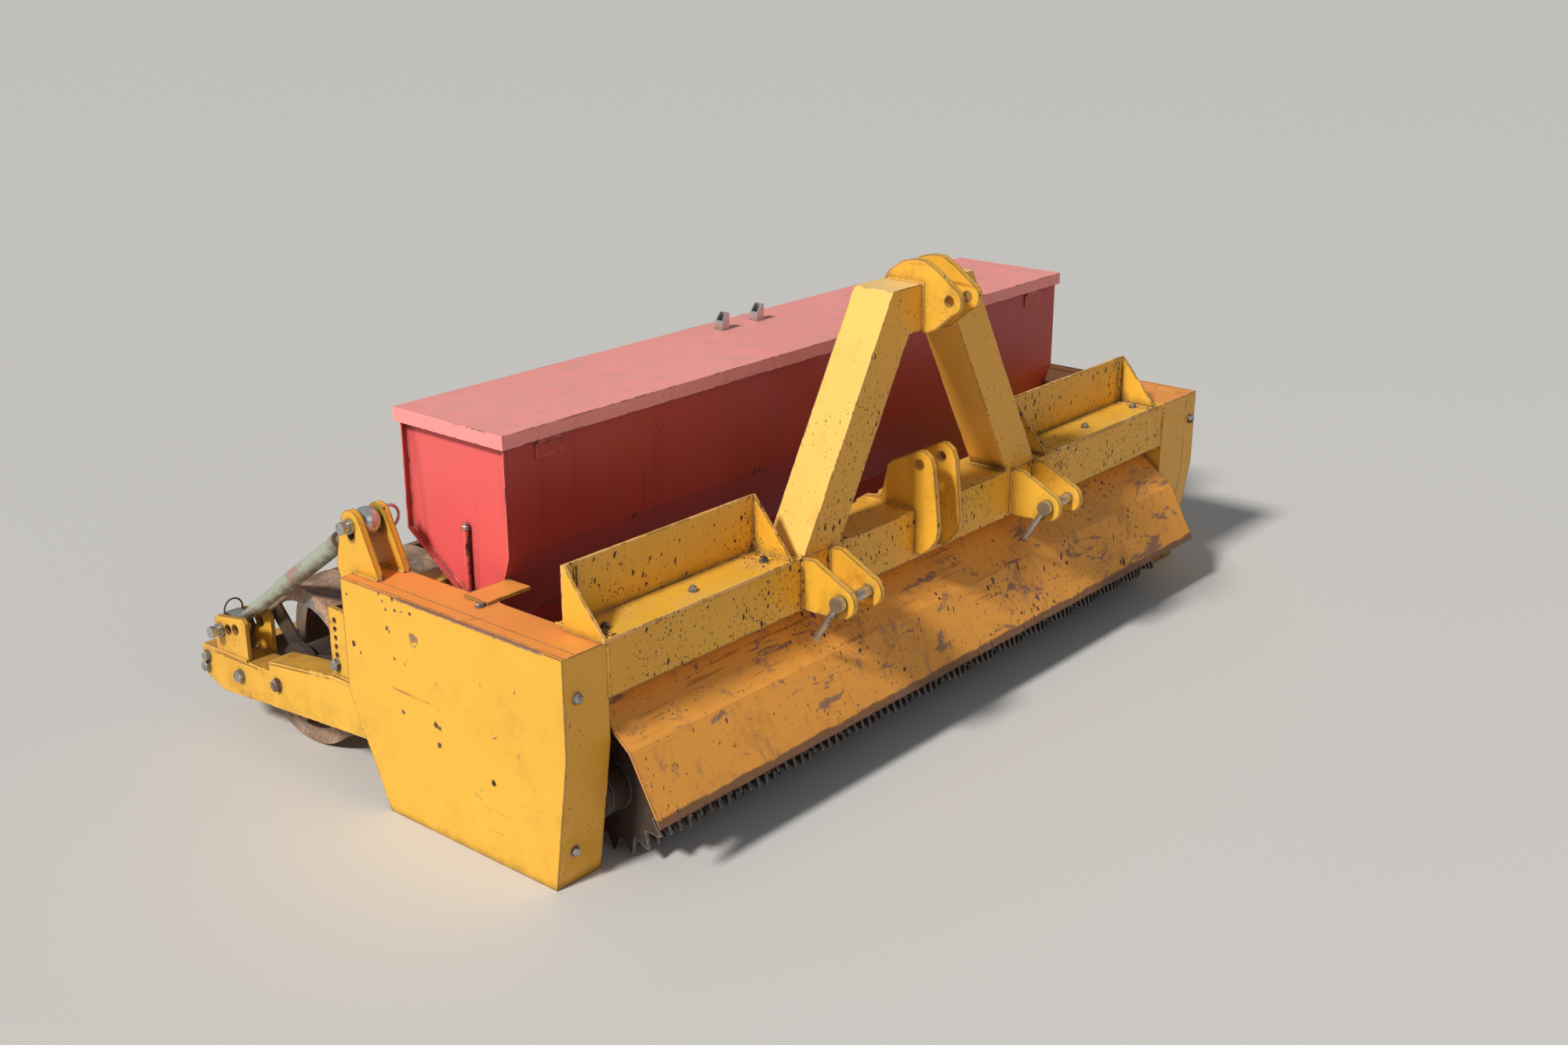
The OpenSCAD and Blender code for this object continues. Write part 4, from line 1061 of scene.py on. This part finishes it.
class DRILL_OT_stage(bpy.types.Operator):
    """Floor, lights and camera"""

    bl_idname = "drill.stage"
    bl_label = "Stage"

    def execute(self, context):
        _, _, stage = settings()
        self.floor()
        self.lights(stage)
        self.camera(stage)
        return {"FINISHED"}

    def floor(self):
        bm = bmesh.new()
        for x, y in ((-1, -1), (1, -1), (1, 1), (-1, 1)):
            bm.verts.new((x * FLOOR_HALF, y * FLOOR_HALF, 0))
        bm.faces.new(bm.verts[:])
        mesh = bpy.data.meshes.new("floor")
        bm.to_mesh(mesh)
        bm.free()
        obj = bpy.data.objects.new("floor", mesh)
        bpy.context.collection.objects.link(obj)
        material, _, shader = new_material("pale_floor")
        shader.inputs["Base Color"].default_value = FLOOR_COLOUR
        shader.inputs["Roughness"].default_value = 0.9
        mesh.materials.append(material)

    def lights(self, stage):
        world = bpy.data.worlds.new("studio")
        bpy.context.scene.world = world
        world.use_nodes = True
        back = world.node_tree.nodes["Background"]
        back.inputs["Color"].default_value = SKY_COLOUR
        back.inputs["Strength"].default_value = stage.sky
        key = bpy.data.lights.new("key", "SUN")
        key.energy = stage.key_power
        key.angle = stage.key_softness
        key.color = SUN_COLOUR
        fill = bpy.data.lights.new("fill", "AREA")
        fill.shape = "DISK"
        fill.size = 3.5
        fill.energy = stage.fill_power
        for light, place in ((key, SUN_PLACE), (fill, FILL_PLACE)):
            obj = bpy.data.objects.new(light.name, light)
            obj.location = place
            aim = LAMP_AIM - Vector(place)
            obj.rotation_euler = aim.to_track_quat("-Z", "Y").to_euler()
            bpy.context.collection.objects.link(obj)

    def camera(self, stage):
        data = bpy.data.cameras.new("camera")
        data.lens = stage.lens
        data.sensor_width = 36.0
        data.clip_end = 100.0
        obj = bpy.data.objects.new("camera", data)
        turn, fall = math.radians(stage.camera_azimuth), math.radians(stage.camera_fall)
        obj.location = stage.camera_place
        obj.rotation_euler = (math.pi / 2 - fall, 0.0, -turn)
        bpy.context.collection.objects.link(obj)
        bpy.context.scene.camera = obj


OPERATORS = (DRILL_OT_stage, DRILL_OT_finishes, DRILL_OT_frame_bolts, DRILL_OT_arm_bolts,
             DRILL_OT_pin_rings, DRILL_OT_frame_welds, DRILL_OT_arm_welds, DRILL_OT_seams)
GROUP_TYPES = (PaintSettings, WearSettings, StageSettings)


class DRILL_PT_panel(bpy.types.Panel):
    """Lists the steps that dress the drill"""

    bl_idname = "DRILL_PT_panel"
    bl_label = "Seed drill"
    bl_space_type = "VIEW_3D"
    bl_region_type = "UI"
    bl_category = "Seed drill"

    def draw(self, context):
        for operator in OPERATORS:
            self.layout.operator(operator.bl_idname)


def register():
    for cls in GROUP_TYPES + OPERATORS + (DRILL_PT_panel,):
        bpy.utils.register_class(cls)
    bpy.types.Scene.drill_paint = PointerProperty(type=PaintSettings)
    bpy.types.Scene.drill_wear = PointerProperty(type=WearSettings)
    bpy.types.Scene.drill_stage = PointerProperty(type=StageSettings)


def unregister():
    del bpy.types.Scene.drill_paint, bpy.types.Scene.drill_wear, bpy.types.Scene.drill_stage
    for cls in reversed(GROUP_TYPES + OPERATORS + (DRILL_PT_panel,)):
        bpy.utils.unregister_class(cls)


def main():
    register()
    bpy.context.scene.view_settings.view_transform = "Standard"
    for operator in OPERATORS:
        area, action = operator.bl_idname.split(".")
        getattr(getattr(bpy.ops, area), action)()


if __name__ == "__main__":
    main()
